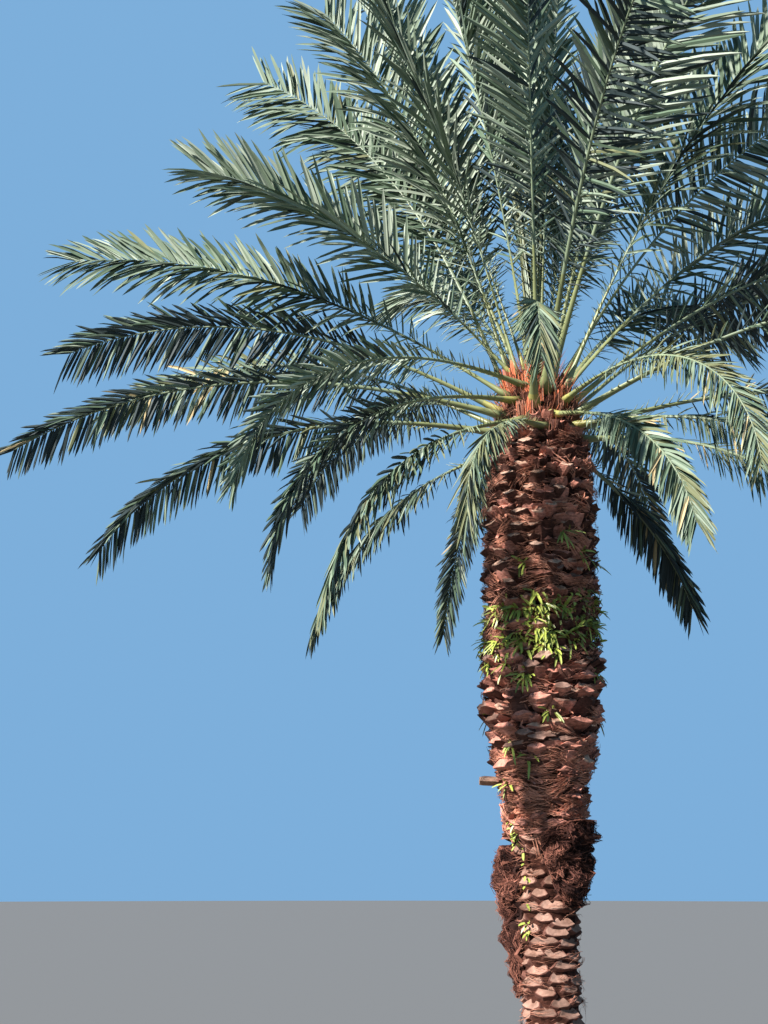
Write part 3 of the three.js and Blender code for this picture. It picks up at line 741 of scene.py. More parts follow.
class PALM_OT_broken_bases(bpy.types.Operator):
    """Add the broad broken leaf bases round the middle of the trunk and the clumps of fibre below"""

    bl_idname = "palm.broken_bases"
    bl_label = "Broken leaf bases"

    def execute(self, context):
        rng = np.random.default_rng(12)
        bodies = Bodies()
        angle, height = staggered(*BROKEN_ROWS, rng)
        leaf_bases(bodies, BROKEN, angle, height, drawn_measures(BROKEN_SPANS, len(angle), rng), rng)
        heading, height, *measures = np.array(SEEN_BASES).T
        leaf_bases(bodies, SEEN_BROKEN, np.radians(heading), height, measures, rng)
        angle, height = staggered(*CLUMP_ROWS, rng)
        leaf_bases(bodies, CLUMP, angle, height, drawn_measures(CLUMP_SPANS, len(angle), rng), rng)
        bodies.settle("broken_leaf_bases", finishes("base_"), "trunk_bark", "trunk")
        return {"FINISHED"}


class PALM_OT_trimmed_scars(bpy.types.Operator):
    """Cover the lower trunk with the smooth lens-shaped scars of trimmed leaves"""

    bl_idname = "palm.trimmed_scars"
    bl_label = "Trimmed leaf scars"

    def execute(self, context):
        rng = np.random.default_rng(13)
        sizes = context.scene.palm_trunk

        def in_row(height):
            return max(FEWEST_SCARS, round(2 * math.pi * between(TRUNK_RADIUS, height) / sizes.scar_width))

        angle, height = staggered(LOWEST_SCAR, SHAGGY_FROM - 0.01, sizes.scar_row, in_row, 0.09, 0.93, rng)
        height = np.maximum(height, LOWEST_SCAR)
        measures = drawn_measures(SCAR_SPANS, len(angle), rng, sizes.scar_width)
        bodies = Bodies()
        leaf_bases(bodies, SCAR, angle, height, measures, rng, SCAR_OUTLINE)
        bodies.settle("trimmed_leaf_scars", finishes("scar_"), "trunk_bark", "trunk")
        return {"FINISHED"}


# Fibre and roots

def strands(bodies, paths, radii, slots):
    """Three-sided tapering strands along paths: bodies x steps x 3."""
    ways = unit(np.gradient(paths, axis=1))
    across = unit(np.cross(ways, UP + 0.01))
    corners = np.radians([150, 30, 270])
    side, rise = radii[..., None] * np.cos(corners), radii[..., None] * np.sin(corners)
    rings = rings_round(paths, across, np.cross(across, ways), side, rise)
    bodies.add(rings, np.asarray(slots)[:, None, None])


def straight(start, way, length, steps):
    """Paths of a length from each start."""
    return start[:, None] + way[:, None] * (length[:, None] * np.linspace(0, 1, steps))[..., None]


def wandering(angle, height, out, length, slope, flick, steps, rng):
    """Paths on the trunk that start at angle and height, run round it and end by standing off."""
    share = np.linspace(0, 1, steps)
    drift = np.cumsum(rng.normal(0, 0.25, (len(angle), steps)), 1) * length[:, None] / steps
    round_by = share * (length * np.cos(slope) / between(TRUNK_RADIUS, height))[:, None]
    climb = share * (length * np.sin(slope))[:, None] + drift
    stand = out[:, None] + 0.012 * np.sin(np.pi * share) + flick[:, None] * share ** 2
    return on_trunk(angle[:, None] + round_by, height[:, None] + climb, stand)


def lock_tones(locks, shares, rng):
    """A tone for each fibre: its lock's own, with a few strays."""
    own = rng.choice(len(shares), locks.max() + 1, p=shares)[locks]
    return np.where(rng.random(len(locks)) < 0.7, own, rng.choice(len(shares), len(locks), p=shares))


# Fibres: lowest and highest, longest, thickest, furthest out, fibres in a lock, shares of the tones
FIBRES = {
    "trunk_fibre": (2.3, CROWN_FROM + 0.2, 0.17, 0.0021, 0.05, 12, [0.44, 0.36, 0.2]),
    "matted_fibre": (SHAGGY_FROM - 0.02, 2.5, 0.2, 0.0026, 0.036, 16, [0.4, 0.22, 0.38]),
    "scar_fibre": (0.1, SHAGGY_FROM, 0.16, 0.0016, 0.03, 5, [0.4, 0.35, 0.25]),
}


class PALM_OT_fibre(bpy.types.Operator):
    """Lay loose fibres between the old leaf bases, and wind more round the part below them"""

    bl_idname = "palm.fibre"
    bl_label = "Trunk fibre"

    def execute(self, context):
        rng = np.random.default_rng(14)
        for name, row in FIBRES.items():
            self.lay(name, getattr(context.scene.palm_trunk, name), *row, rng)
        return {"FINISHED"}

    def lay(self, name, count, low, high, longest, thickest, furthest, lock_size, tones, rng):
        """One piece of fibres that wander round the trunk, in locks that lie together."""
        number = count // lock_size
        locks = np.arange(count) % number

        def of_lock(values, spread):
            return values[locks] + rng.normal(0, spread, count)

        hand = rng.choice([-1, 1], number)[locks]
        length = of_lock(rng.uniform(0.35, 1.0, number) * longest, 0.1 * longest)
        slope = of_lock(rng.normal(0.05, 0.35, number), 0.12)
        angle = of_lock(rng.uniform(0, 2 * math.pi, number), 0.05)
        height = of_lock(rng.uniform(low, high, number), 0.009)
        out = of_lock(rng.uniform(0.0, furthest, number), 0.006)
        flick = of_lock(rng.uniform(-0.012, 0.024, number), 0.008)
        paths = wandering(angle, height, out, length * hand, slope * hand, flick, 5, rng)
        radii = (rng.uniform(0.45, 1.0, count) * thickest)[:, None] * np.array([0.7, 1, 1, 0.8, 0.3])
        bodies = Bodies()
        strands(bodies, paths, radii, lock_tones(locks, tones, rng))
        bodies.settle(name, finishes("fibre_"), "trunk_bark", "trunk")


# Profiles of blades: shares of the length and the width there
LEAFLET = np.array([(0, 0.45), (0.1, 0.9), (0.55, 1), (0.86, 0.66), (1, 0.04)])
STRAP = np.array([(0, 0.35), (0.3, 0.95), (0.7, 1), (0.92, 0.7), (1, 0.1)])
FLAKE = np.array([(0, 0.7), (0.6, 1), (1, 0.35)])
BLADE_CREASE = 0.55
BLADE_THICKNESS = 0.12
FLAKE_TONES = [0.5, 0.3, 0.2]


def add_blades(bodies, root, way, face, length, width, sag, slots, under=None, profile=LEAFLET):
    """Creased blades with a body of their own, from their roots along way, facing face."""
    shares, widths = profile.T
    across = unit(np.cross(way, face))
    reach = way[:, None] * (length[:, None] * shares)[..., None]
    droop = UP * ((sag * length)[:, None] * shares ** 2)[..., None]
    half = (width[:, None] / 2 * widths)[..., None]
    sides, lifts = np.array([(-1, BLADE_CREASE), (0, 0), (1, BLADE_CREASE), (0, -BLADE_THICKNESS)]).T
    above = np.cross(across, way)
    middle = root[:, None] + reach - droop
    rings = rings_round(middle, across[:, None], above[:, None], half * sides, half * lifts)
    below = slots if under is None else under
    bodies.add(rings, np.stack([slots, slots, below, below], -1)[:, None, :])


def mixed_way(angle, out, aside, up):
    """Directions at angles round the trunk, mixed of shares outward, aside and up."""
    return unit(outward(angle) * out[:, None] + tangent(angle) * aside[:, None] + UP * up[:, None])


class PALM_OT_flakes(bpy.types.Operator):
    """Fray the bark between the old leaf bases into small flakes"""

    bl_idname = "palm.flakes"
    bl_label = "Flakes"

    def execute(self, context):
        rng = np.random.default_rng(17)
        count = context.scene.palm_trunk.flakes
        angle = rng.uniform(0, 2 * math.pi, count)
        height = rng.uniform(SHAGGY_FROM + 0.02, CROWN_FROM + 0.2, count)
        way = mixed_way(
            angle, rng.uniform(0.15, 1.0, count), rng.normal(0, 0.8, count), rng.normal(0.25, 0.5, count),
        )
        face = unit(outward(angle) + rng.normal(0, 0.5, (count, 3)))
        length = rng.uniform(0.02, 0.07, count)
        width = rng.uniform(0.006, 0.02, count)
        tones = rng.choice(3, count, p=FLAKE_TONES)
        bodies = Bodies()
        add_blades(bodies, on_trunk(angle, height), way, face, length, width, 0, tones, profile=FLAKE)
        bodies.settle("bark_flakes", finishes("fibre_"), "trunk_bark", "trunk")
        return {"FINISHED"}


def mat_surface(mat, side, rise, lift=0.0):
    """Points on a mat's outside: side from -1 to 1 across it, rise from 0 at its foot to 1.

    A rise above 1 runs in over the top towards the trunk.
    """
    over = np.maximum(0, rise - 1)
    rise = np.minimum(1, rise)
    crest = 1 - MAT_CREST[0] * rise ** MAT_CREST[1] - over / MAT_TURN_IN
    body = (1 - side ** 2) * np.sin(np.pi * (MAT_BULGE[0] + MAT_BULGE[1] * rise)) * crest
    edge = side ** 2 * (MAT_EDGE_LIFT * (1 - rise) - MAT_TOP_FALL * rise)
    height = mat["bottom"] + (mat["top"] - mat["bottom"]) * rise + edge
    width = mat["half"] * (MAT_FOOT_SHARE + (1 - MAT_FOOT_SHARE) * rise)
    angle = np.radians(mat["middle"] + side * width)
    return on_trunk(angle, height, mat["thin"] + (mat["thick"] - mat["thin"]) * body + lift)


def mat_lumps(points):
    """How far a mat's lumps stand out at each point."""
    return rough(points, 13, 0.045, 3)


class PALM_OT_root_mats(bpy.types.Operator):
    """Turn the two mats into tangles of roots and fibre"""

    bl_idname = "palm.root_mats"
    bl_label = "Root mats"

    def execute(self, context):
        rng = np.random.default_rng(15)
        for node, mat in ROOT_MATS.items():
            self.add_core(node)
            self.add_strands(node, mat, context.scene.palm_trunk.roots, rng)
        return {"FINISHED"}

    def add_core(self, node):
        """The node's own solid, finer and lumpy, in the dark root tone: partly the roots' own dark, partly
        painted shade in the gaps between the strands.
        """
        bm = bmesh.new()
        bm.from_mesh(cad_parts[node].data)
        bmesh.ops.remove_doubles(bm, verts=bm.verts, dist=1e-4)
        bmesh.ops.subdivide_edges(bm, edges=bm.edges, cuts=3, use_grid_fill=True, smooth=0.4)
        bm.normal_update()
        lumps = mat_lumps([v.co for v in bm.verts])
        for vertex, lump in zip(bm.verts, lumps):
            vertex.co += vertex.normal * (float(lump) - CORE_INSET)
        settle(object_of(f"{node}_core", bm, finishes("root_dark")), "root_mat", node)

    def add_strands(self, node, mat, count, rng):
        """The roots and fibres over one mat: locks that each hold strands and a thick core."""
        steps = 7
        share = np.linspace(0, 1, steps)
        number = count // LOCK_SIZE
        locks = np.arange(count) % number
        core = np.arange(count) < number

        def tangled(values, spread, wander):
            """Values of the strands' locks along the strands, spread apart and wandering."""
            apart = rng.normal(0, spread, (count, 1)) * ~core[:, None]
            return values[locks] + apart + np.cumsum(rng.normal(0, wander, (count, steps)), 1)

        across = rng.normal(0, mat["across"], (number, 1)) * share
        side = tangled(rng.uniform(-1, 1, (number, 1)) + across, 0.06, 0.04)
        climb = rng.normal(mat["along"], 0.08, (number, 1)) * share - mat["sag"] * np.sin(np.pi * share)
        rise = tangled(rng.uniform(0, 1.2, (number, 1)) + climb, 0.02, 0.016)
        swell = mat["stand"] * np.sin(np.pi * share) * rng.uniform(0.2, 1.0, (number, 1))
        lift = tangled(rng.uniform(-0.014, 0.008, (number, 1)) + swell, 0.006, 0.003)
        side, rise = np.clip(side, -1.03, 1.03), np.clip(rise, -0.05, 1.12)
        lift += mat_lumps(mat_surface(mat, side, rise).reshape(-1, 3)).reshape(count, steps)
        paths = mat_surface(mat, side, rise, lift)
        thick = np.where(core, rng.uniform(0.006, 0.013, count), rng.uniform(0.0009, 0.003, count))
        radii = thick[:, None] * between([(0, 0.6), (0.5, 1), (1, 0.25)], share)
        bodies = Bodies()
        strands(bodies, paths, radii, lock_tones(locks, mat["tones"], rng))
        bodies.settle(f"{node}_strands", finishes("root_"), "root_mat", node)


class PALM_OT_cut_stalk(bpy.types.Operator):
    """Shape the one old stalk that was cut off long"""

    bl_idname = "palm.cut_stalk"
    bl_label = "Cut stalk"

    def execute(self, context):
        rng = np.random.default_rng(16)
        heading = math.radians(STUB["heading"])
        along, across = leaning(heading, math.radians(STUB["rise"])), tangent(heading)
        shares = np.array([0.5, 0.65, 0.8, 0.95, 1.0, 1.02, 1.015])
        scales = np.array([1.05, 1.0, 0.96, 0.93, 0.9, 0.8, 0.3])[:, None]
        ragged = scales * (1 + rng.uniform(-0.08, 0.08, (len(scales), len(BASE_OUTLINE))))
        start = np.array([float(trunk_axis(STUB["height"])), 0, STUB["height"]])
        middle = start + along * (shares * STUB["reach"])[:, None]
        side = BASE_OUTLINE[:, 0] * ragged * STUB["width"] / 2
        lift = BASE_OUTLINE[:, 1] * ragged * STUB["depth"] / 1.5
        rings = rings_round(middle, -across, np.cross(along, -across), side, lift)
        bodies = Bodies()
        bodies.add(rings[None], np.array([0, 0, 0, 0, 1, 1])[None, :, None])
        bodies.settle("cut_stalk_wood", finishes("stalk_wood"), "cut_wood", "cut_stalk")
        return {"FINISHED"}


# Crown

def frond_plan(order):
    age = order / (FROND_COUNT - 1)
    slot = (order * TURN_PER_FROND) % 360
    turn = TWIST if order % 2 == 0 else -TWIST
    rule = (slot, between(RISE, age), between(BOW, age), between(LENGTH, age), turn)
    heading, rise, bow, length, twist = KNOWN_FRONDS.get(order, rule)
    base = outward(math.radians(slot)) * between(BASE_RADIUS, age)
    base[2] = LOWEST_BASE + (HIGHEST_BASE - LOWEST_BASE) * age
    name = f"frond_{order + 1:02d}"
    return {
        "age": age, "nodes": [name, f"{name}_tip"] if bow >= SPLIT_BOW else [name], "base": base,
        "heading": math.radians(heading), "rise": rise, "bow": bow, "length": length, "twist": twist,
        "width": float(between(STALK_WIDTH, age)), "fold": float(between(FOLD, age)),
        "hang": max(float(between(LEAFLET_HANG, age)), (bow - HANG_BOW) / HANG_SPAN),
        "leaflet": float(between(LEAFLET_BY_POISE, rise - bow * POISE_PER_BOW)),
    }


def frond_rib(plan, steps):
    """A frond's rib as arrays: places, forward, left and up directions, half widths and shares."""
    def way(share):
        return leaning(plan["heading"], np.radians(plan["rise"] - plan["bow"] * share ** BOW_POWER))

    share = np.arange(steps + 1) / steps
    level = tangent(plan["heading"])
    forward = way(share)
    run = plan["length"] / steps * way(share[:-1] + 0.5 / steps)
    places = plan["base"] + np.concatenate([np.zeros((1, 3)), np.cumsum(run, 0)])
    turn = np.radians(plan["twist"] * np.sin(math.pi / 2 * np.minimum(1, share / TWISTED_BY)))[:, None]
    left = level * np.cos(turn) + np.cross(forward, level) * np.sin(turn)
    up = np.cross(forward, left)
    half = plan["width"] * between(RIB_WIDTH, share) / 2
    return {"share": share, "place": places, "forward": forward, "left": left, "up": up, "half": half}


def at_share(rib, key, share):
    """A rib's value at any share of its length."""
    values = rib[key]
    if values.ndim == 1:
        return np.interp(share, rib["share"], values)
    return np.stack([np.interp(share, rib["share"], values[:, axis]) for axis in range(3)], -1)


RIB_OUTLINE = np.array([
    (-1, 0.1), (-0.45, 0.95), (0.45, 0.95), (1, 0.1), (0.6, -0.8), (0, -1.05), (-0.6, -0.8),
])
FOOT_SHARE = 0.03  # the part of a frond's length that may have a yellow foot
YELLOW_FEET = 0.2  # share of the stalks that have one
SPINES_FROM = 0.085


def add_rib(bodies, rib, foot_slot):
    half = (rib["half"] * (1 + 0.35 * np.exp(-rib["share"] / 0.02)))[:, None]
    side, rise = RIB_OUTLINE[:, 0] * half, RIB_OUTLINE[:, 1] * half * STALK_DEPTH
    rings = rings_round(rib["place"], -rib["left"], rib["up"], side, rise)
    bands = rib["share"][:-1]
    slots = np.where(bands < FOOT_SHARE, foot_slot, np.where(bands < STALK_SHARE, STALK_TINT, RIB_TINT))
    bodies.add(rings[None], slots[None, :, None])


def add_spines(bodies, rib, each, rng):
    """Stiff spines that take the leaflets' place on the stalk."""
    count = 2 * each
    share = np.tile(np.linspace(SPINES_FROM, STALK_SHARE, each), 2) + rng.normal(0, 0.003, count)
    hand = np.repeat([1.0, -1.0], each)[:, None]
    length = (0.045 + 0.5 * (share - SPINES_FROM)) * rng.uniform(0.7, 1.2, count)
    forward, left, up = (at_share(rib, key, share) for key in ("forward", "left", "up"))
    way = unit(forward * 0.8 + left * hand + up * rng.uniform(0.1, 0.9, count)[:, None])
    start = at_share(rib, "place", share) + left * hand * at_share(rib, "half", share)[:, None] * 0.8
    paths = straight(start, way, length, 3)
    radii = np.broadcast_to(np.array([0.0045, 0.0028, 0.0006]), (count, 3))
    strands(bodies, paths, radii, np.full(count, STALK_TINT))


class PALM_OT_frond_ribs(bpy.types.Operator):
    """Grow each frond's stalk and rib, with the spines on the stalk"""

    bl_idname = "palm.frond_ribs"
    bl_label = "Stalks and ribs"

    def execute(self, context):
        rng = np.random.default_rng(21)
        sizes = context.scene.palm_crown
        bodies = Bodies()
        nodes = []
        for order in range(FROND_COUNT):
            plan = frond_plan(order)
            rib = frond_rib(plan, sizes.rib_steps)
            add_rib(bodies, rib, FOOT_TINT if rng.random() < YELLOW_FEET else STALK_TINT)
            add_spines(bodies, rib, sizes.spines_a_side, rng)
            nodes += plan["nodes"]
        materials = finishes("stalk_foot", "stalk_green", "rib_green")
        bodies.settle("frond_ribs", materials, "frond_leaf", *nodes, smooth=True)
        return {"FINISHED"}


RANKS = np.array([1.7, -0.5, 0.7, -1.5, 0.1])
RANK_EASE = [(0, 1.25), (0.6, 1), (1, 0.5)]
LEAFLET_BREADTH = [(0, 0.3), (0.2, 0.75), (0.4, 1), (0.8, 1), (1, 0.75)]
BREADTH_BY_SIZE = [(0.5, 0.72), (1.1, 1.08)]
SPARSE_FOOT = 0.15  # the part of a blade, from its stalk, where many leaflets are missing
SPARSE_KEPT = 0.6  # share of the leaflets that are left there
SAG_BY_AGE = [(0, 1.7), (0.5, 1.1), (1, 0.5)]

# Stages of a frond: the spread of its leaflets' roll in degrees, their breadth, the share whose
# undersides keep their own tint instead of the painted shade, and the shares of their tints
DROOPING = (55, 0.68, 0.28, {GREY_GREEN: 0.24, DEEP: 0.26, OLIVE: 0.48, DRY: 0.02})
OLD_FROND = (38, 1, 0.28, {PALE: 0.04, GREY_GREEN: 0.32, DEEP: 0.4, OLIVE: 0.22, DRY: 0.02})
GROWN_FROND = (32, 1, 0.28, {PALE: 0.14, GREY_GREEN: 0.44, DEEP: 0.38, OLIVE: 0.04})
YOUNG_FROND = (30, 1, 0.85, {PALE: 0.46, GREY_GREEN: 0.38, DEEP: 0.16})
DROOPING_BOW = 90  # a frond that bends further droops at any age
OLD_UNTIL = 0.3
GROWN_UNTIL = 0.58
LEAF_TIERS = {
    "lowest": range(0, 12), "lower": range(12, 24), "upper": range(24, 35), "youngest": range(35, 46),
}


def frond_stage(plan):
    if plan["bow"] > DROOPING_BOW:
        return DROOPING
    if plan["age"] < OLD_UNTIL:
        return OLD_FROND
    return GROWN_FROND if plan["age"] < GROWN_UNTIL else YOUNG_FROND


def add_leaflets(bodies, plan, rib, sizes, rng):
    roll_spread, breadth, unshaded_share, tints = frond_stage(plan)
    each = sizes.leaflets_a_side
    count = 2 * each
    hand = np.repeat([1.0, -1.0], each)
    number = np.tile(np.arange(each), 2)
    along = (number + rng.uniform(0.1, 0.9, count)) / each
    share = STALK_SHARE + (1 - STALK_SHARE) * along
    spread = RANK_SPREAD * RANKS[(number + (hand > 0)) % len(RANKS)] * between(RANK_EASE, along)
    stand = np.radians(plan["fold"] + spread + rng.normal(0, 5, count))
    lean = np.radians(between(LEAFLET_LEAN, along) + rng.normal(0, 4, count))
    forward, left, up = (unit(at_share(rib, key, share)) for key in ("forward", "left", "up"))
    sideways = left * (hand * np.cos(stand))[:, None] + up * np.sin(stand)[:, None]
    way = forward * np.cos(lean)[:, None] + sideways * np.sin(lean)[:, None]
    pull = plan["hang"] * (1 - HANG_EASED * np.maximum(0, sideways[:, 2])) * rng.uniform(0.75, 1.2, count)
    way = unit(way - UP * pull[:, None])
    half = at_share(rib, "half", share)[:, None]
    root = at_share(rib, "place", share) + left * hand[:, None] * half * 0.7 + up * half * 0.25
    length = sizes.leaflet_length * plan["leaflet"] * between(LEAFLET_SIZE, along)
    length *= rng.uniform(0.8, 1.05, count)
    broad = between(BREADTH_BY_SIZE, plan["leaflet"]) * breadth
    width = sizes.leaflet_width * broad * between(LEAFLET_BREADTH, along) * rng.uniform(0.8, 1.2, count)
    sag = LEAFLET_SAG * between(SAG_BY_AGE, plan["age"]) * rng.uniform(0.4, 1.7, count)
    roll = np.radians(rng.normal(0, roll_spread, count))[:, None]
    normal = np.cross(forward, sideways) * hand[:, None]
    face = normal * np.cos(roll) + np.cross(way, normal) * np.sin(roll)
    tint = rng.choice(list(tints), count, p=list(tints.values()))
    unshaded_below = rng.random(count) < unshaded_share
    # Undersides take the painted shade, except on dry leaflets and on those that keep their tint below
    under = np.where((tint == DRY) | unshaded_below, tint, UNDERSIDE_SHADE)
    kept = (along > SPARSE_FOOT) | (rng.random(count) < SPARSE_KEPT)
    parts = (root, way, face, length, width, sag, tint, under)
    add_blades(bodies, *(part[kept] for part in parts))


class PALM_OT_leaflets(bpy.types.Operator):
    """Set the leaflets along every rib, in four tiers of fronds"""

    bl_idname = "palm.leaflets"
    bl_label = "Leaflets"

    def execute(self, context):
        sizes = context.scene.palm_crown
        for tier, orders in LEAF_TIERS.items():
            bodies = Bodies()
            nodes = []
            for order in orders:
                plan = frond_plan(order)
                rib = frond_rib(plan, sizes.rib_steps)
                add_leaflets(bodies, plan, rib, sizes, np.random.default_rng(100 + order))
                nodes += plan["nodes"]
            bodies.settle(f"leaflets_{tier}", finishes("leaflet_"), "frond_leaf", *nodes)
        return {"FINISHED"}


def spear_radius(share):
    return SPEAR_WIDTH / 2 * (1 - SPEAR_TAPER * share ** SPEAR_TAPER_POWER)


class PALM_OT_spear_leaves(bpy.types.Operator):
    """Stand the closed young leaves in the heart, as bundles of folded leaflets"""

    bl_idname = "palm.spear_leaves"
    bl_label = "Spear leaves"

    def execute(self, context):
        rng = np.random.default_rng(31)
        count = SPEAR_LEAFLETS
        bodies = Bodies()
        for spear in SPEARS:
            way = leaning(math.radians(spear["heading"]), math.radians(90 - spear["lean"]))
            share = rng.uniform(0, 0.72, count)
            angle = rng.uniform(0, 2 * math.pi, count)
            out = outward(angle)
            root = UP * SPEAR_FOOT + way * (spear["length"] * share)[:, None]
            root += out * (spear_radius(share) * 0.75)[:, None]
            direction = unit(way + out * rng.uniform(-0.035, 0.03, count)[:, None])
            length = np.minimum(rng.uniform(0.4, 0.7, count), spear["length"] * (1 - share))
            tint = rng.choice([PALE, GREY_GREEN, OLIVE], count)
            width = rng.uniform(0.016, 0.026, count)
            add_blades(bodies, root, direction, out, length, width, 0, tint)
            shares = np.linspace(0, 0.98, 12)
            middle = UP * (SPEAR_FOOT - SPEAR_SUNK) + way * (spear["length"] * shares)[:, None]
            ring = outward(np.radians([180, 120, 60, 0, 300, 240]))
            core = middle[:, None] + ring * (spear_radius(shares) * 0.8)[:, None, None]
            bodies.add(core[None], OLIVE)
        bodies.settle("spear_leaf_bundles", finishes("leaflet_"), "spear_leaf", "spear_leaves")
        return {"FINISHED"}


# Heart

# Sheaths seen in the heart: heading in degrees, height, width, length
SEEN_SHEATHS = [
    (205, 4.87, 0.16, 0.24), (259, 4.84, 0.08, 0.17), (182, 4.83, 0.07, 0.16), (295, 4.93, 0.07, 0.2),
]
OTHER_SHEATHS = 26
SHEATH_STRIPS = 14
HEART_FIBRES = 1100
# Shares of orange, red and brown
SEEN_SHEATH_TONES = [0.7, 0.25, 0.05]
OTHER_SHEATH_TONES = [0.15, 0.35, 0.5]
HEART_FIBRE_TONES = [0.08, 0.3, 0.62]


def sheath_places(rng):
    """The sheaths that are seen, and others like them all round the heart."""
    heading = (np.arange(OTHER_SHEATHS) * TURN_PER_FROND + 60) % 360
    height = np.linspace(4.56, 4.96, OTHER_SHEATHS)
    width = rng.uniform(0.05, 0.11, OTHER_SHEATHS)
    return SEEN_SHEATHS + list(zip(heading, height, width, rng.uniform(0.08, 0.17, OTHER_SHEATHS)))


def add_sheath(bodies, heading, height, width, length, tones, rng):
    """A ragged sheath: strips side by side on the trunk, in shares of orange, red and brown."""
    across = np.linspace(-0.5, 0.5, SHEATH_STRIPS) * width / float(between(TRUNK_RADIUS, height))
    angle = math.radians(heading) + across
    out = outward(angle)
    way = unit(UP + out * 0.2 + rng.normal(0, 0.05, (SHEATH_STRIPS, 3)))
    strip_tones = rng.choice(3, SHEATH_STRIPS, p=tones)
    face = unit(out + rng.normal(0, 0.2, (SHEATH_STRIPS, 3)))
    lengths = length * rng.uniform(0.6, 1.0, SHEATH_STRIPS)
    widths = np.full(SHEATH_STRIPS, 2.2 * width / SHEATH_STRIPS)
    root = on_trunk(angle, height, -0.01)
    add_blades(bodies, root, way, face, lengths, widths, 0, strip_tones, profile=STRAP)


class PALM_OT_heart(bpy.types.Operator):
    """Wrap the feet of the stalks in ragged orange sheaths and red-brown fibre"""

    bl_idname = "palm.heart"
    bl_label = "Heart sheaths"

    def execute(self, context):
        rng = np.random.default_rng(41)
        bodies = Bodies()
        for number, place in enumerate(sheath_places(rng)):
            seen = number < len(SEEN_SHEATHS)
            add_sheath(bodies, *place, SEEN_SHEATH_TONES if seen else OTHER_SHEATH_TONES, rng)
        count = HEART_FIBRES
        height = rng.uniform(4.5, 5.05, count)
        angle = rng.uniform(0, 2 * math.pi, count)
        spray = outward(angle) * rng.uniform(0.1, 0.9, count)[:, None]
        way = unit(spray + UP + rng.normal(0, 0.3, (count, 3)))
        paths = straight(on_trunk(angle, height), way, rng.uniform(0.05, 0.17, count), 4)
        paths += rng.normal(0, 0.03, (count, 3))[:, None] * np.linspace(0, 1, 4)[:, None] ** 2
        radii = rng.uniform(0.001, 0.0024, count)[:, None] * np.array([1, 0.9, 0.7, 0.25])
        strands(bodies, paths, radii, rng.choice(3, count, p=HEART_FIBRE_TONES))
        materials = finishes("sheath_orange", "sheath_red", "sheath_brown")
        bodies.settle("heart_sheaths", materials, "trunk_bark")
        return {"FINISHED"}


# Ferns

FERN_LEAVES = 7  # leaves of one fern
FERN_TINTS = [0.45, 0.4, 0.15]
# Ferns in a belt round the trunk, thick in front and as strays: how many, lowest and highest
FERNS = [(34, 3.0, 3.47), (30, 3.08, 3.4), (16, 2.25, 4.0)]
# Patches of small climbing leaves: heading and its spread, lowest and highest, count and tint.
# The dark tint is partly painted shade, on the first patch at the shaded front right.
CLIMBERS = [
    (328, 12, 3.1, 3.5, 90, FERN_DEEP_AND_SHADE), (300, 12, 3.25, 3.45, 24, FERN_GREEN),
    (140, 30, 3.0, 3.4, 60, FERN_DEEP_AND_SHADE), (220, 4, 1.86, 2.02, 18, FERN_GREEN),
    (231, 2, 1.3, 1.86, 16, FERN_GREEN),
]


def add_ferns(bodies, rng):
    belt, thick, strays = (number for number, low, high in FERNS)
    angle = np.concatenate([
        rng.uniform(0, 2 * math.pi, belt),
        np.radians(FRONT + rng.normal(-12, 24, thick)),
        np.radians(FRONT + rng.uniform(-110, 110, strays)),
    ])
    height = np.concatenate([rng.uniform(low, high, number) for number, low, high in FERNS])
    angle, height = np.repeat(angle, FERN_LEAVES), np.repeat(height, FERN_LEAVES)
    count = len(angle)
    angle += rng.normal(0, 0.05, count)
    way = mixed_way(
        angle, rng.uniform(0.25, 0.9, count), rng.normal(0, 0.5, count), rng.uniform(-1.0, 0.8, count),
    )
    add_blades(
        bodies, on_trunk(angle, height, 0.02), way, unit(UP + outward(angle) * 1.5),
        rng.uniform(0.05, 0.13, count), rng.uniform(0.012, 0.02, count), rng.uniform(0.1, 0.5, count),
        rng.choice(3, count, p=FERN_TINTS), profile=STRAP,
    )


def add_climber(bodies, heading, spread, low, high, count, tint, rng):
    angle = np.radians(rng.normal(heading, spread, count))
    out = outward(angle)
    add_blades(
        bodies, on_trunk(angle, rng.uniform(low, high, count), rng.uniform(0.02, 0.05, count)),
        unit(out * 0.6 + rng.normal(0, 0.5, (count, 3)) - UP * 0.5), unit(out + UP * 0.6),
        rng.uniform(0.025, 0.045, count), rng.uniform(0.014, 0.022, count), 0.2, np.full(count, tint),
    )


class PALM_OT_ferns(bpy.types.Operator):
    """Grow the small bright ferns that have settled on the trunk"""

    bl_idname = "palm.ferns"
    bl_label = "Ferns on the trunk"

    def execute(self, context):
        rng = np.random.default_rng(51)
        bodies = Bodies()
        add_ferns(bodies, rng)
        for row in CLIMBERS:
            add_climber(bodies, *row, rng)
        bodies.settle("trunk_ferns", finishes("fern_"), "frond_leaf")
        return {"FINISHED"}


# Stage

FLOOR_DROP = 0.002  # the floor lies this far under the cut, so that the two don't share a face
BACKDROP_STRENGTH = 0.74
SUN_STRENGTH = 13
SUN_SPREAD = 2  # degrees
SUN_COLOUR = (1.0, 0.95, 0.95)
SUN_WAY = (0.55, 0.64, -0.54)  # the way that its light goes
FURTHEST_SEEN = 500


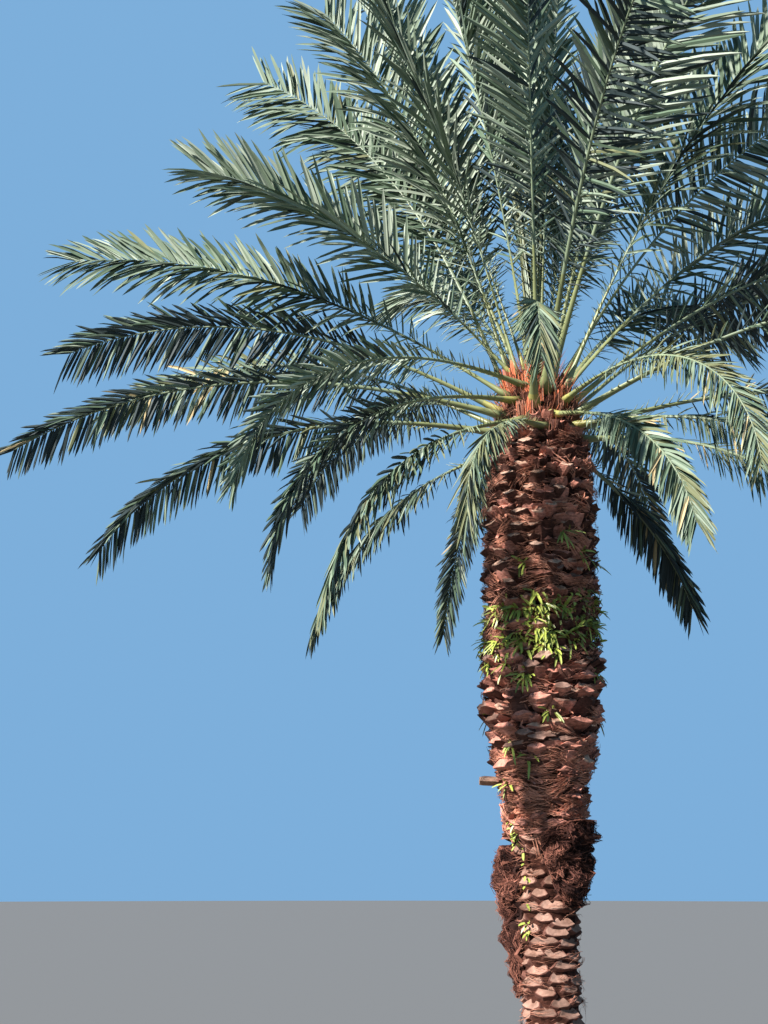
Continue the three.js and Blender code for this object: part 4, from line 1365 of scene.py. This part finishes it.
class PALM_OT_stage(bpy.types.Operator):
    """Lay a plain pale floor and set the light and the camera"""

    bl_idname = "palm.stage"
    bl_label = "Floor, light and camera"

    def execute(self, context):
        scene = context.scene
        stage = scene.palm_stage
        bm = bmesh.new()
        bmesh.ops.create_circle(bm, cap_ends=True, segments=96, radius=stage.floor_radius)
        bmesh.ops.translate(bm, vec=(0, 0, -FLOOR_DROP), verts=bm.verts)
        floor_finish = Finish("floor_pale", 0.9, 0.1)
        floor_finish.shader.inputs["Base Color"].default_value = stage.floor
        object_of("floor", bm, [floor_finish.material], smooth=False)

        world = bpy.data.worlds.new("studio")
        world.use_nodes = True
        sky = world.node_tree.nodes["Background"]
        sky.inputs["Color"].default_value = stage.backdrop
        sky.inputs["Strength"].default_value = BACKDROP_STRENGTH
        scene.world = world
        scene.view_settings.view_transform = "Standard"

        sun = bpy.data.lights.new("key", "SUN")
        sun.energy = SUN_STRENGTH
        sun.angle = math.radians(SUN_SPREAD)
        sun.color = SUN_COLOUR
        linked("key", sun).rotation_euler = Vector(SUN_WAY).to_track_quat("-Z", "Y").to_euler()

        camera = bpy.data.cameras.new("camera")
        camera.lens = stage.camera_lens
        camera.clip_end = FURTHEST_SEEN
        eye = linked("camera", camera)
        eye.location = (0, -stage.camera_distance, stage.camera_height)
        eye.rotation_euler = (math.pi / 2 + stage.camera_pitch, 0, stage.camera_yaw)
        scene.camera = eye
        return {"FINISHED"}


# Add-on

OPERATORS = (
    PALM_OT_stage, PALM_OT_bark, PALM_OT_trimmed_scars, PALM_OT_leaf_bases, PALM_OT_broken_bases,
    PALM_OT_fibre, PALM_OT_flakes, PALM_OT_root_mats, PALM_OT_cut_stalk, PALM_OT_frond_ribs,
    PALM_OT_leaflets, PALM_OT_spear_leaves, PALM_OT_heart, PALM_OT_ferns,
)
SETTINGS = {
    "palm_trunk": PalmTrunkSettings,
    "palm_crown": PalmCrownSettings,
    "palm_colours": PalmColourSettings,
    "palm_stage": PalmStageSettings,
}


class PALM_PT_build(bpy.types.Panel):
    """Lists the palm's pieces in the order in which they are made"""

    bl_idname = "PALM_PT_build"
    bl_label = "Date palm"
    bl_space_type = "VIEW_3D"
    bl_region_type = "UI"
    bl_category = "Date palm"

    def draw(self, context):
        for operator in OPERATORS:
            self.layout.operator(operator.bl_idname)


def register():
    for name, group in SETTINGS.items():
        bpy.utils.register_class(group)
        setattr(bpy.types.Scene, name, bpy.props.PointerProperty(type=group))
    for item in (*OPERATORS, PALM_PT_build):
        bpy.utils.register_class(item)


def unregister():
    for item in reversed((*OPERATORS, PALM_PT_build)):
        bpy.utils.unregister_class(item)
    for name, group in reversed(SETTINGS.items()):
        delattr(bpy.types.Scene, name)
        bpy.utils.unregister_class(group)


def main():
    register()
    for operator in OPERATORS:
        family, name = operator.bl_idname.split(".")
        result = getattr(getattr(bpy.ops, family), name)()
        if result != {"FINISHED"}:
            raise RuntimeError(f"{operator.bl_label} did not finish")


if __name__ == "__main__":
    main()
